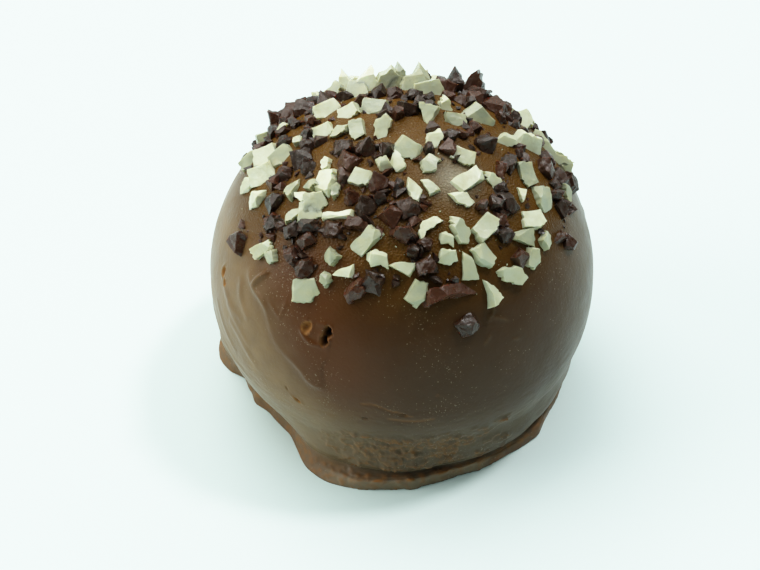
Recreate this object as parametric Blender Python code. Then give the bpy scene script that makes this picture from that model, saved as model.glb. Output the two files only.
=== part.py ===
"""A chocolate praline: a ball dipped in milk chocolate, with a cap of white and dark chips.

The coat, the foot that it ran into while it set on a flat sheet, and the chips that stuck to
it are one piece of food, so they are one closed solid. The origin is under the middle of the
ball, on the surface that the praline stands on, with +Z up.

A place on the coat is a bearing and a fall, in degrees. The bearing goes round the ball from
-Y, positive towards +X, and the fall is the angle down from the ball's top.
"""

import math
import random
from collections import namedtuple

import bmesh
import bpy
from mathutils import Matrix, Vector

MM = 0.001

# The ball and its coat
BALL_RADIUS = 15.0 * MM
BALL_HEIGHT = 9.9 * MM
COAT_WAVE = 0.05 * MM
SEGMENTS_AROUND = 64
WALL_RINGS = 17

# The coat ran down thick: its wall leaves the ball at the skirt's height, down to its waist
SKIRT_HEIGHT = 4.8 * MM
WAIST_HEIGHT = 1.25 * MM
WAIST_RADIUS = 13.35 * MM

# The foot, where the coat ran out on the sheet: its edge bulges by a roll between its top and
# the sheet, and the roll starts a little inside the edge
FOOT_RADIUS = 13.65 * MM
FOOT_HEIGHT = 1.05 * MM
FOOT_WAVE = 0.07 * MM
FOOT_ROLL = 0.40 * MM
FOOT_ROLL_INSET = 0.12 * MM

# Lobes and gaps of the foot's edge and of the waist above it: bearings where one starts, is
# full, is still full and ends, and how far it reaches past the mean radius, in mm
FOOT_LOBES = (
    (-124, -106, -95, -80, 1.65),
    (-86, -80.5, -74, -66, -0.70),
    (-76, -59, -48, -30, -1.50),
    (-40, -22, -17, 22, 1.10),
    (50, 60, 72, 90, -0.40),
    (104, 118, 130, 146, 0.55),
    (150, 166, 176, 196, 0.95),
    (204, 212, 216, 226, -0.60),
)
WAIST_LOBES = (
    (-126, -110, -98, -79, 1.65),
    (-82, -60, -52, -24, -1.55),
    (-20, -12, 0, 12, 0.35),
    (42, 52, 66, 78, -0.15),
    (152, 168, 174, 190, 0.40),
    (200, 212, 216, 230, -0.70),
)

# Chips: how deep they sit in the coat, how much narrower their top is, how thick they are
CHIP_SINK = 0.38 * MM
CHIP_TAPER = 0.86
CHIP_THICKNESS = {"white": (0.38, 0.66), "dark": (0.55, 0.95)}
CHIP_LEAN = {"white": 13.0, "dark": 22.0}
CHIP_SEED = 41
CORNER_WANDER = 0.035

# The eye that sees the side in front looks down on it. A chip's face shows a little off the coat
EYE_ELEVATION = math.radians(40.0)
EYE_DISTANCE = 135.0 * MM
NEAR_SIDE = Vector((0.0, -math.cos(EYE_ELEVATION), math.sin(EYE_ELEVATION)))
HIGH_SIDE = Vector((0.0, math.sin(EYE_ELEVATION), math.cos(EYE_ELEVATION)))
FACE_REACH = 0.45 * MM

# Outlines of broken chips, for a length of 1 along the first axis
OUTLINES = {
    "bar": ((-0.50, -0.20), (0.47, -0.24), (0.50, 0.17), (-0.46, 0.24)),
    "slab": ((-0.50, -0.24), (0.12, -0.38), (0.48, -0.20), (0.42, 0.30), (-0.36, 0.35)),
    "wedge": ((-0.50, -0.02), (0.40, -0.36), (0.50, 0.28), (-0.30, 0.16)),
    "fang": ((-0.50, -0.10), (0.02, -0.14), (0.50, -0.28), (0.44, 0.26), (-0.06, 0.20)),
    "curl": ((-0.50, -0.24), (-0.10, 0.06), (0.50, -0.06), (0.46, 0.18), (0.06, 0.34), (-0.34, 0.18)),
    "shard": ((-0.50, 0.08), (-0.14, -0.34), (0.16, -0.14), (0.50, -0.30), (0.32, 0.28), (-0.18, 0.36)),
    "leaf": ((-0.50, 0.00), (-0.10, -0.25), (0.36, -0.20), (0.50, 0.06), (0.14, 0.25), (-0.26, 0.19)),
    "block": ((-0.46, -0.38), (0.42, -0.44), (0.50, 0.34), (-0.36, 0.44)),
    "stick": ((-0.50, -0.12), (0.50, -0.10), (0.49, 0.12), (-0.48, 0.10)),
}

# Chips that show: outline, mm right and mm up of the ball's middle as the eye sees them, turn of
# its length (degrees), length as seen (mm), and how far one that stands is tipped up (degrees)
WHITE_CHIPS = (
    ("bar", -3.0, 2.3, 47, 3.0), ("shard", -2.0, 0.85, -10, 2.4), ("wedge", 0.0, 0.2, -10, 2.3),
    ("slab", 1.2, -1.9, 60, 2.4), ("curl", 2.2, 3.2, 42, 3.0), ("shard", 3.6, 2.5, -15, 1.8),
    ("slab", 3.7, 1.1, 0, 1.8), ("leaf", 4.6, 3.3, -60, 2.8), ("slab", 6.7, 3.4, 54, 2.6),
    ("slab", 6.6, 1.2, -45, 2.3), ("wedge", 5.4, 0.3, -75, 2.6), ("fang", 7.2, -1.8, -65, 2.4),
    ("leaf", 8.8, -0.35, -12, 3.2), ("slab", 10.5, 0.95, 80, 1.9), ("wedge", 9.8, 2.7, 14, 2.9),
    ("slab", 11.6, 2.4, 60, 1.6), ("slab", 10.6, 4.1, 20, 2.5), ("slab", 11.4, 5.7, -60, 2.4),
    ("slab", 10.1, 7.8, -55, 2.4, 15), ("wedge", 9.7, 6.1, 95, 1.3), ("leaf", 7.4, 7.3, -40, 2.3, 10),
    ("bar", 5.3, 7.3, 42, 3.0, 10), ("leaf", 4.8, 5.8, -12, 2.4), ("slab", 4.95, 9.2, -10, 2.2, 20),
    ("slab", 0.4, 9.9, -25, 2.7, 15), ("leaf", -0.35, 8.8, -75, 2.4, 15), ("shard", 2.3, 8.5, 60, 2.2, 15),
    ("leaf", 0.9, 6.5, -65, 2.5), ("wedge", 2.2, 6.8, -45, 1.8), ("slab", -1.45, 8.5, -60, 1.6, 15),
    ("slab", -3.4, 7.5, -15, 2.4), ("stick", -5.2, 4.4, -3, 2.6), ("slab", -6.2, 7.1, 75, 2.7),
    ("leaf", -6.1, 8.5, 80, 1.5, 10), ("wedge", -8.8, 6.6, -130, 2.0), ("slab", -7.1, 5.4, 10, 2.4),
    ("leaf", -8.9, 4.3, 35, 1.9), ("leaf", -11.8, 5.6, 25, 2.3), ("bar", -11.2, 1.75, 25, 2.1),
    ("block", -10.6, 1.05, 20, 1.5), ("block", -5.7, 1.1, -30, 1.6), ("wedge", -4.7, -0.2, 10, 1.9),
    ("shard", -6.1, -0.7, -60, 1.4), ("slab", -7.9, -1.6, 12, 2.7), ("leaf", 13.3, 6.2, -30, 1.9, 15),
    ("slab", -2.3, 13.2, -15, 2.5, 35), ("leaf", -1.7, 11.4, 70, 2.9, 35),
    ("slab", -3.6, 11.4, -75, 2.1, 35), ("slab", -4.35, 12.8, 10, 2.1, 35),
    ("slab", -6.05, 12.9, 10, 2.6, 40), ("slab", -6.45, 11.3, 10, 2.0, 30),
    ("wedge", 2.1, 12.5, 95, 2.4, 40), ("leaf", 2.5, 10.5, 62, 2.4, 30), ("leaf", 3.5, 13.3, -80, 2.2, 50),
    ("slab", 4.3, 12.2, 5, 2.1, 40), ("slab", 6.3, 12.3, -20, 2.9, 45), ("leaf", 8.4, 10.5, 45, 2.6, 35),
    ("slab", 10.2, 10.1, 20, 3.0, 50), ("slab", 9.5, 12.1, 60, 2.7, 65), ("fang", 12.2, 9.4, 200, 4.4, 68),
    ("fang", -4.5, 14.8, -95, 3.6, 75), ("slab", -3.7, 14.3, 65, 2.8, 55),
    ("shard", -2.4, 14.8, 110, 3.4, 70), ("wedge", -0.5, 15.0, -98, 4.0, 75),
    ("leaf", 0.7, 14.8, 60, 3.6, 68), ("slab", 2.2, 14.5, 20, 2.8, 60), ("leaf", 1.6, 15.1, -75, 3.7, 80),
    ("leaf", -1.3, 14.9, 70, 3.5, 75), ("leaf", -5.5, 14.2, 70, 2.6, 65),
    ("slab", -11.1, 10.6, -15, 2.2, 60), ("slab", -11.0, 9.3, -10, 2.6, 45),
    ("leaf", 12.9, 8.8, 0, 3.0, 65), ("slab", -11.3, 7.8, -5, 2.9, 30), ("slab", -9.8, 9.2, 20, 2.4, 30),
    ("shard", -9.6, 11.5, 20, 1.3, 40), ("slab", -12.3, 8.8, 5, 2.0, 55), ("block", -8.3, 10.5, 0, 1.1, 20),
    ("leaf", -12.5, 6.8, 10, 2.2, 35), ("slab", -7.5, 4.6, 5, 2.4), ("leaf", -8.0, 5.9, -40, 1.8),
    ("shard", -7.2, 6.8, 20, 1.6), ("leaf", -5.1, 11.2, 20, 2.0, 30), ("leaf", -5.4, 6.3, 75, 1.6),
)
DARK_CHIPS = (
    ("stick", 4.0, -1.8, 12, 4.5, -25), ("block", 5.25, -4.6, 40, 2.0), ("block", -13.2, 2.2, 60, 1.9),
    ("block", 13.5, 2.3, 10, 1.6), ("block", 12.9, 5.1, 70, 1.7), ("bar", -10.6, 3.6, 20, 2.2),
    ("slab", -8.9, 3.2, 20, 1.8), ("slab", -7.9, 0.25, 5, 2.0), ("slab", -3.8, -1.7, 40, 2.3),
    ("block", -2.4, -1.0, -20, 1.9), ("slab", -10.4, 5.5, 35, 2.0), ("block", -7.6, 3.7, 10, 1.7),
    ("block", -7.7, 2.5, 30, 1.7), ("slab", -3.0, 5.0, 50, 2.2), ("slab", -4.1, 5.8, 60, 1.5),
    ("shard", 0.1, 2.9, 15, 2.3), ("block", 0.6, 5.0, 30, 2.0), ("block", -0.9, 4.4, 50, 1.9),
    ("slab", 1.9, 0.3, 30, 2.0), ("slab", 1.9, 2.1, -20, 1.4), ("slab", -1.9, 6.9, 60, 2.0),
    ("bar", -0.2, 6.8, 70, 1.2), ("slab", -5.8, 3.3, -5, 2.1), ("bar", -3.6, 3.6, -15, 2.3),
    ("block", -4.3, 8.8, -30, 1.9, 10), ("slab", -3.0, 9.8, 5, 2.0, 20), ("slab", -5.0, 9.9, 0, 2.2, 20),
    ("block", -8.2, 9.1, 10, 2.1, 15), ("block", -9.45, 7.85, 0, 1.4), ("block", -10.4, 7.05, 20, 1.2),
    ("slab", 8.7, 8.6, 60, 2.1, 15), ("slab", 8.6, 5.4, -50, 2.2), ("block", 8.0, 6.7, 30, 1.3),
    ("shard", 6.5, 5.2, 50, 1.4), ("block", 7.6, 5.4, 10, 1.4), ("slab", 6.7, 10.2, -20, 2.1, 25),
    ("block", 5.8, 11.5, 20, 1.1, 25), ("block", 4.9, 11.1, 0, 1.0, 25), ("block", 11.6, 8.2, 10, 1.8, 25),
    ("block", 3.2, 14.6, 80, 2.4, 65), ("wedge", 4.2, 14.7, -80, 3.3, 75),
    ("shard", 6.1, 14.0, 75, 2.8, 70), ("wedge", 5.4, 14.5, -100, 3.8, 75),
    ("block", 7.4, 13.1, 55, 2.2, 65), ("block", -0.6, 14.2, 10, 1.4, 50), ("slab", 1.0, 14.1, 0, 1.6, 50),
    ("block", 2.1, 14.0, 30, 1.3, 50), ("block", 0.6, 12.9, 0, 1.8, 45), ("block", -4.7, 14.0, 20, 1.3, 50),
    ("block", -5.8, 14.0, -10, 1.2, 50), ("block", -9.1, 12.5, 75, 2.3, 70),
    ("block", -8.0, 12.9, 60, 2.1, 65), ("wedge", -10.1, 11.8, -95, 3.0, 75),
    ("slab", -9.6, 10.4, -20, 1.7, 35), ("slab", -7.7, 10.9, 40, 1.6, 35),
    ("block", -12.5, 9.1, 30, 0.9, 50), ("block", -11.8, 10.3, 0, 0.8, 50),
    ("block", 9.9, 12.7, 0, 0.9, 60), ("block", 10.6, 11.5, 0, 0.8, 50),
)

# Places where the coat shows bare between the chips: mm right and up as seen, and radius (mm)
BARE_PLACES = (
    (0.4, 11.5, 1.5), (3.5, 7.3, 1.5), (5.4, 4.8, 0.9), (-6.4, 1.8, 1.2), (7.2, 8.9, 0.9), (-6.7, 9.6, 0.9),
    (-0.5, 1.6, 0.9), (8.6, 1.4, 1.1), (11.6, 7.4, 1.1), (-2.0, -3.4, 1.0), (12.3, 3.9, 1.0),
    (2.9, 5.2, 0.9), (-11.9, 3.9, 0.9), (-3.9, 0.9, 0.8), (-10.1, 0.2, 0.9), (3.3, 11.4, 0.7),
    (12.6, 0.5, 1.6), (-12.8, 0.0, 1.8),
)

# Chips strewn over the rest of the cap: tries, lengths (mm), outlines and least spacing. The
# cap reaches down to a mean fall, further on the +X side, with a wavy edge (degrees)
CAP_EDGE = 55.0
CAP_SLANT = 3.5
CAP_EDGE_WAVE = 2.0
GOLDEN_ANGLE = 137.508
STREW_WANDER = 2.4
FAR_SHARE = 0.24
Strewing = namedtuple("Strewing", "kind tries shortest longest outlines spacing")
WHITE_STREWING = Strewing("white", 150, 1.5, 2.7, ("bar", "slab", "wedge", "leaf", "block", "shard"), 0.80)
DARK_STREWING = Strewing("dark", 480, 1.15, 1.9, ("block", "slab", "shard", "wedge"), 0.64)

Chip = namedtuple("Chip", "kind outline bearing fall turn length thickness stand roll pitch")

MILK_CHOCOLATE = (0.175, 0.085, 0.045, 1.0)
WHITE_CHOCOLATE = (0.72, 0.69, 0.47, 1.0)
DARK_CHOCOLATE = (0.040, 0.014, 0.008, 1.0)


def smooth_step(value, low, high):
    share = min(max((value - low) / (high - low), 0.0), 1.0)
    return share * share * (3.0 - 2.0 * share)


def direction(bearing, fall):
    """The unit vector from the ball's middle to a place on the coat."""
    turn = math.radians(bearing)
    drop = math.radians(fall)
    return Vector((math.sin(drop) * math.sin(turn), -math.sin(drop) * math.cos(turn), math.cos(drop)))


def seen_place(right, up):
    """Bearing and fall of the coat that shows so many mm right and up of the ball's middle, and
    its distance from the eye as a share of the middle's."""
    eye = NEAR_SIDE * EYE_DISTANCE
    ray = (Vector((right * MM, 0.0, 0.0)) + HIGH_SIDE * (up * MM) - eye).normalized()
    nearest = -eye.dot(ray)
    miss = (eye + ray * nearest).length
    away = nearest - math.sqrt(max((BALL_RADIUS + FACE_REACH) ** 2 - miss ** 2, 0.0))
    point = eye + ray * away
    fall = math.degrees(math.acos(point.z / point.length))
    return math.degrees(math.atan2(point.x, -point.y)), fall, away / EYE_DISTANCE


def coat_radius(bearing, fall):
    """The coat isn't quite round: it thins and thickens in long waves."""
    turn = math.radians(bearing)
    drop = math.radians(fall)
    wave = math.sin(2.0 * turn + 3.0 * drop) + 0.6 * math.sin(5.0 * turn - 4.0 * drop + 1.0)
    return BALL_RADIUS + COAT_WAVE * wave * math.sin(drop)


def lobes_reach(bearing, lobes):
    """How far a set of lobes and gaps reaches out at a bearing."""
    reach_here = 0.0
    for start, full, still_full, end, reach in lobes:
        for lap in (-360.0, 0.0, 360.0):
            place = bearing + lap
            share = smooth_step(place, start, full) * (1.0 - smooth_step(place, still_full, end))
            reach_here += reach * MM * share
    return reach_here


def foot_radius(bearing):
    """The foot's edge at a bearing: a mean circle, its small waves, and its lobes and gaps."""
    turn = math.radians(bearing)
    waves = FOOT_WAVE * (math.sin(7.0 * turn + 0.8) + 0.7 * math.sin(16.0 * turn))
    return FOOT_RADIUS + waves + lobes_reach(bearing, FOOT_LOBES)


def ring_profile(bearing):
    """Radius and height of each ring at one bearing, from below the top down to the sheet."""
    points = []
    last_fall = math.degrees(math.acos((WAIST_HEIGHT - BALL_HEIGHT) / BALL_RADIUS))
    waist = WAIST_RADIUS + lobes_reach(bearing, WAIST_LOBES)
    flare = waist - BALL_RADIUS * math.sin(math.radians(last_fall))
    for ring in range(1, WALL_RINGS + 1):
        fall = last_fall * ring / WALL_RINGS
        place = direction(bearing, fall) * coat_radius(bearing, fall)
        height = BALL_HEIGHT + place.z
        skirt = flare * smooth_step(SKIRT_HEIGHT - height, 0.0, SKIRT_HEIGHT - WAIST_HEIGHT)
        points.append((math.hypot(place.x, place.y) + skirt, height))
    edge = foot_radius(bearing)
    ledge = edge - FOOT_ROLL_INSET
    points.append((0.5 * (waist + ledge), 0.5 * (WAIST_HEIGHT + FOOT_HEIGHT)))
    points.append((ledge, FOOT_HEIGHT - FOOT_ROLL_INSET))
    points.append((edge, FOOT_HEIGHT - FOOT_ROLL))
    points.append((edge, 0.5 * FOOT_ROLL))
    points.append((ledge, 0.0))
    return points


def coat_body():
    """The dipped ball with its foot, closed underneath by the flat face it stands on."""
    mesh = bmesh.new()
    top = mesh.verts.new((0.0, 0.0, BALL_HEIGHT + coat_radius(0.0, 0.0)))
    columns = []
    for segment in range(SEGMENTS_AROUND):
        bearing = 360.0 * segment / SEGMENTS_AROUND - 180.0
        turn = math.radians(bearing)
        column = [
            mesh.verts.new((radius * math.sin(turn), -radius * math.cos(turn), height))
            for radius, height in ring_profile(bearing)
        ]
        columns.append(column)
    for left, right in zip(columns, columns[1:] + columns[:1]):
        mesh.faces.new((top, left[0], right[0]))
        for upper, lower in zip(range(len(left) - 1), range(1, len(left))):
            mesh.faces.new((left[upper], left[lower], right[lower], right[upper]))
    mesh.faces.new([column[-1] for column in reversed(columns)])
    return new_object("praline", mesh, milk_chocolate())


def new_object(name, mesh, material):
    bmesh.ops.recalc_face_normals(mesh, faces=mesh.faces)
    data = bpy.data.meshes.new(name)
    mesh.to_mesh(data)
    mesh.free()
    data.materials.append(material)
    thing = bpy.data.objects.new(name, data)
    bpy.context.scene.collection.objects.link(thing)
    return thing


def cap_edge(bearing):
    slant = CAP_SLANT * math.sin(math.radians(bearing + 20.0))
    return CAP_EDGE + slant + CAP_EDGE_WAVE * math.sin(math.radians(3.0 * bearing + 200.0))


def far_side(bearing, fall):
    return direction(bearing, fall).dot(NEAR_SIDE) < FAR_SHARE


def gap_between(first, second):
    """Degrees of arc between two places, each a bearing and a fall."""
    cosine = direction(*first).dot(direction(*second))
    return math.degrees(math.acos(min(max(cosine, -1.0), 1.0)))


def is_bare(bearing, fall):
    for right, up, radius in BARE_PLACES:
        arc = math.radians(gap_between((bearing, fall), seen_place(right, up)[:2]))
        if arc * BALL_RADIUS < radius * MM:
            return True
    return False


def is_crowded(chips, bearing, fall, length, spacing):
    """Whether a chip would lie too much on those already there."""
    for chip in chips:
        arc = math.radians(gap_between((bearing, fall), (chip.bearing, chip.fall)))
        if arc * BALL_RADIUS / MM < spacing * 0.5 * (length + chip.length):
            return True
    return False


def new_chip(draw, kind, outline, bearing, fall, turn, length, stand=0.0):
    lean = CHIP_LEAN[kind]
    thickness = draw.uniform(*CHIP_THICKNESS[kind])
    roll = draw.uniform(-lean, lean)
    pitch = draw.uniform(-lean, lean)
    return Chip(kind, outline, bearing, fall, turn, length, thickness, stand, roll, pitch)


def seen_chip(draw, kind, outline, right, up, turn, length, stand=0.0):
    """A chip that shows at a point. The nearer it lies, the smaller it is than it seems."""
    bearing, fall, nearness = seen_place(right, up)
    return new_chip(draw, kind, outline, bearing, fall, turn, length * nearness, stand)


def strew(draw, chips, strewing, only_far):
    """Chips along a golden-angle spiral from the top down to the cap's wavy edge."""
    span = 1.0 - math.cos(math.radians(CAP_EDGE + CAP_SLANT + CAP_EDGE_WAVE))
    for count in range(strewing.tries):
        share = (count + 0.5) / strewing.tries
        fall = math.degrees(math.acos(1.0 - share * span)) + draw.uniform(-STREW_WANDER, STREW_WANDER)
        bearing = (count * GOLDEN_ANGLE) % 360.0 - 180.0 + draw.uniform(-STREW_WANDER, STREW_WANDER)
        outline = draw.choice(strewing.outlines)
        turn = draw.uniform(-90.0, 90.0)
        length = draw.uniform(strewing.shortest, strewing.longest)
        if fall > cap_edge(bearing) or is_bare(bearing, fall):
            continue
        if only_far and not far_side(bearing, fall):
            continue
        if is_crowded(chips, bearing, fall, length, strewing.spacing):
            continue
        chips.append(new_chip(draw, strewing.kind, outline, bearing, fall, turn, length))


def all_chips():
    draw = random.Random(CHIP_SEED)
    chips = [seen_chip(draw, "white", *row) for row in WHITE_CHIPS]
    chips += [seen_chip(draw, "dark", *row) for row in DARK_CHIPS]
    strew(draw, chips, WHITE_STREWING, True)
    strew(draw, chips, DARK_STREWING, False)
    return chips


def chip_frame(chip):
    """Where a chip lies: its length along X, its thickness along Z, on the coat."""
    outward = direction(chip.bearing, chip.fall)
    across = Vector((1.0, 0.0, 0.0))
    across = (across - outward * across.dot(outward)).normalized()
    upslope = outward.cross(across)
    basis = Matrix((across, upslope, outward)).transposed().to_4x4()
    foot = outward * coat_radius(chip.bearing, chip.fall)
    place = Matrix.Translation(foot + Vector((0.0, 0.0, BALL_HEIGHT)))
    stand = Matrix.Rotation(math.radians(chip.stand), 4, "X")
    turn = Matrix.Rotation(math.radians(chip.turn), 4, "Z")
    roll = Matrix.Rotation(math.radians(chip.roll), 4, "X")
    pitch = Matrix.Rotation(math.radians(chip.pitch), 4, "Y")
    return place @ basis @ stand @ turn @ roll @ pitch


def chip_solid(chip, draw, name, material):
    """A broken flake: its outline drawn up from inside the coat to a smaller top."""
    mesh = bmesh.new()
    size = chip.length * MM
    frame = chip_frame(chip)
    corners = []
    for x, y in OUTLINES[chip.outline]:
        x += draw.uniform(-CORNER_WANDER, CORNER_WANDER)
        y += draw.uniform(-CORNER_WANDER, CORNER_WANDER)
        corners.append((x * size, y * size))
    low = [mesh.verts.new(frame @ Vector((x, y, -CHIP_SINK))) for x, y in corners]
    high = [
        mesh.verts.new(frame @ Vector((x * CHIP_TAPER, y * CHIP_TAPER, chip.thickness * MM)))
        for x, y in corners
    ]
    mesh.faces.new(list(reversed(low)))
    mesh.faces.new(high)
    for index in range(len(corners)):
        after = (index + 1) % len(corners)
        mesh.faces.new((low[index], low[after], high[after], high[index]))
    return new_object(name, mesh, material)


def milk_chocolate():
    return plain_material("milk_chocolate", MILK_CHOCOLATE, 0.38)


def white_chocolate():
    return plain_material("white_chocolate", WHITE_CHOCOLATE, 0.42)


def dark_chocolate():
    return plain_material("dark_chocolate", DARK_CHOCOLATE, 0.30)


def plain_material(name, colour, roughness):
    material = bpy.data.materials.new(name)
    material.use_nodes = True
    shader = material.node_tree.nodes["Principled BSDF"]
    shader.inputs["Base Color"].default_value = colour
    shader.inputs["Roughness"].default_value = roughness
    return material


def chip_collection():
    """Every chip as its own solid, gathered in one collection."""
    gathered = bpy.data.collections.new("chips")
    bpy.context.scene.collection.children.link(gathered)
    materials = {"white": white_chocolate(), "dark": dark_chocolate()}
    draw = random.Random(CHIP_SEED + 1)
    for number, chip in enumerate(all_chips()):
        solid = chip_solid(chip, draw, f"chip_{number}", materials[chip.kind])
        gathered.objects.link(solid)
        bpy.context.scene.collection.objects.unlink(solid)
    return gathered


def fuse(body, gathered):
    """Join the chips to the coat with one union, then remove them as objects."""
    union = body.modifiers.new("chips", "BOOLEAN")
    union.operation = "UNION"
    union.operand_type = "COLLECTION"
    union.collection = gathered
    union.solver = "EXACT"
    union.material_mode = "TRANSFER"
    bpy.context.view_layer.update()
    graph = bpy.context.evaluated_depsgraph_get()
    fused = bpy.data.meshes.new_from_object(body.evaluated_get(graph))
    body.modifiers.clear()
    body.data = fused
    for solid in list(gathered.objects):
        bpy.data.objects.remove(solid)
    bpy.data.collections.remove(gathered)


def keep_outer_skin(body):
    """Fill hollows sealed between chips and drop loose scraps: only the largest skin stays."""
    mesh = bmesh.new()
    mesh.from_mesh(body.data)
    skins = []
    unseen = set(mesh.verts)
    while unseen:
        seed = unseen.pop()
        skin = {seed}
        edge_of_search = [seed]
        while edge_of_search:
            for edge in edge_of_search.pop().link_edges:
                for vert in edge.verts:
                    if vert in unseen:
                        unseen.remove(vert)
                        skin.add(vert)
                        edge_of_search.append(vert)
        skins.append(skin)
    skins.sort(key=len)
    for skin in skins[:-1]:
        bmesh.ops.delete(mesh, geom=list(skin), context="VERTS")
    mesh.to_mesh(body.data)
    mesh.free()


def clear_scene():
    for thing in list(bpy.data.objects):
        bpy.data.objects.remove(thing)


def main():
    clear_scene()
    body = coat_body()
    fuse(body, chip_collection())
    keep_outer_skin(body)
    body.data.shade_smooth()
    body.data.set_sharp_from_angle(angle=math.radians(32.0))


main()
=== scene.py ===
"""A dipped chocolate praline: its coat and foot, the broken chips on its cap, and its crumbs.

Lengths are in metres, from the frame's own origin on the surface under the ball's middle. A
place on the coat is a bearing and a fall, in degrees. The bearing goes round the ball from -Y,
positive towards +X, and the fall is the angle down from the ball's top.
"""

import math
import random
from collections import namedtuple

import bmesh
import bpy
import numpy as np
from mathutils import Matrix, Vector, noise


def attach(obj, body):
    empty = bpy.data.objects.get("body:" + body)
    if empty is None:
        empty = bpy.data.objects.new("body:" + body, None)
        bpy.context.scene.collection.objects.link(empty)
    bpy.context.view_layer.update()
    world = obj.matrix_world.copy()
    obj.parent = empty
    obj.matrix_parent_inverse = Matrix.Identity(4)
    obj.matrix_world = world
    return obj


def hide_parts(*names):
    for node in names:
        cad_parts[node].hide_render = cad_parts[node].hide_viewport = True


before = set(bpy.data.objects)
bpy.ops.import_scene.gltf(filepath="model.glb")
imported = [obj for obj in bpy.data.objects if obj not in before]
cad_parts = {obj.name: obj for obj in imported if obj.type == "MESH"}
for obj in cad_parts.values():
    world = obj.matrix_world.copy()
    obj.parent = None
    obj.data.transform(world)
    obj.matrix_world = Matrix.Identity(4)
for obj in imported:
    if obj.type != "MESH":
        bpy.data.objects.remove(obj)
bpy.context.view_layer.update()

# The coat and its foot
# A truffle ball dipped twice in tempered milk chocolate and set on a flat sheet. The coat ran
# down in slow sags, folded where a drip overtook it, and pooled as a thin foot with a torn rim.

MM = 0.001
BALL_RADIUS = 15 * MM
BALL_HEIGHT = 9.9 * MM
COAT_WAVE = 0.05 * MM
SKIRT_HEIGHT = 4.8 * MM
WAIST_HEIGHT = 1.25 * MM
WAIST_RADIUS = 13.35 * MM
FOOT_RADIUS = 13.65 * MM
FOOT_HEIGHT = 1.05 * MM
FOOT_WAVE = 0.07 * MM
FOOT_ROLL_INSET = 0.12 * MM
LAST_FALL = math.degrees(math.acos((WAIST_HEIGHT - BALL_HEIGHT) / BALL_RADIUS))

# Lobes and gaps of the foot's edge and of the waist above it: bearings where one starts, is
# full, is still full and ends, and how far it reaches past the mean radius, in mm
FOOT_LOBES = (
    (-124, -106, -95, -80, 1.65),
    (-86, -80.5, -74, -66, -0.70),
    (-76, -59, -48, -30, -1.50),
    (-40, -22, -17, 22, 1.10),
    (50, 60, 72, 90, -0.40),
    (104, 118, 130, 146, 0.55),
    (150, 166, 176, 196, 0.95),
    (204, 212, 216, 226, -0.60),
)
WAIST_LOBES = (
    (-126, -110, -98, -79, 1.65),
    (-82, -60, -52, -24, -1.55),
    (-20, -12, 0, 12, 0.35),
    (42, 52, 66, 78, -0.15),
    (152, 168, 174, 190, 0.40),
    (200, 212, 216, 230, -0.70),
)


def smooth_step(value, low, high):
    share = np.clip((value - low) / (high - low), 0, 1)
    return share * share * (3 - 2 * share)


def between(value, rise, drop):
    """1 between two slopes and 0 outside them. Each slope is given by its two ends."""
    return smooth_step(value, *rise) * (1 - smooth_step(value, *drop))


def direction(bearing, fall):
    """The unit vector from the ball's middle to a place on the coat."""
    turn = np.radians(bearing)
    drop = np.radians(fall)
    parts = (np.sin(drop) * np.sin(turn), -np.sin(drop) * np.cos(turn), np.cos(drop))
    return np.stack(np.broadcast_arrays(*parts), axis=-1)


def coat_radius(bearing, fall):
    """The coat isn't quite round: it thins and thickens in long waves."""
    turn = np.radians(bearing)
    drop = np.radians(fall)
    wave = np.sin(2 * turn + 3 * drop) + 0.6 * np.sin(5 * turn - 4 * drop + 1)
    return BALL_RADIUS + COAT_WAVE * wave * np.sin(drop)


def lobes_reach(bearing, lobes):
    """How far a set of lobes and gaps reaches out at a bearing."""
    reach_here = np.zeros_like(bearing)
    for start, full, still_full, end, reach in lobes:
        for lap in (-360, 0, 360):
            reach_here += reach * MM * between(bearing + lap, (start, full), (still_full, end))
    return reach_here


def foot_radius(bearing):
    turn = np.radians(bearing)
    waves = FOOT_WAVE * (np.sin(7 * turn + 0.8) + 0.7 * np.sin(16 * turn))
    return FOOT_RADIUS + waves + lobes_reach(bearing, FOOT_LOBES)


def ring_at(bearing, reach, height):
    turn = np.radians(bearing)
    return np.stack([reach * np.sin(turn), -reach * np.cos(turn), height + 0 * turn], axis=-1)


def wall_point(bearing, fall):
    """A point of the coat's wall before its relief: on the ball, then on the skirt below it."""
    bearing = np.asarray(bearing, dtype=float)
    radius = coat_radius(bearing, fall)
    height = BALL_HEIGHT + radius * np.cos(np.radians(fall))
    waist = WAIST_RADIUS + lobes_reach(bearing, WAIST_LOBES)
    flare = waist - BALL_RADIUS * math.sin(math.radians(LAST_FALL))
    skirt = flare * smooth_step(SKIRT_HEIGHT - height, 0, SKIRT_HEIGHT - WAIST_HEIGHT)
    return ring_at(bearing, radius * np.sin(np.radians(fall)) + skirt, height)


# Columns stand closer together on the side with the fold and the broken patch, and rings are
# coarse under the chips and fine below them. On the sheer side the foot has no ledge: the coat
# ends in a lip, and a steep band runs from it down to the sheet
COLUMNS = 520
CLOSE_SIDE = ((-95, -75), (25, 50))
CLOSENESS = 1.3
CAP_RINGS = 26
CAP_RINGS_END = 50
WALL_RINGS = 132
LEDGE_RINGS = 11
ROLL_RINGS = 9
ROLL_SQUARENESS = 0.75
SHEER_SIDE = ((-100, -88), (-24, -10))
UNDERSIDE_RINGS = (0.93, 0.70, 0.35)

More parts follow.
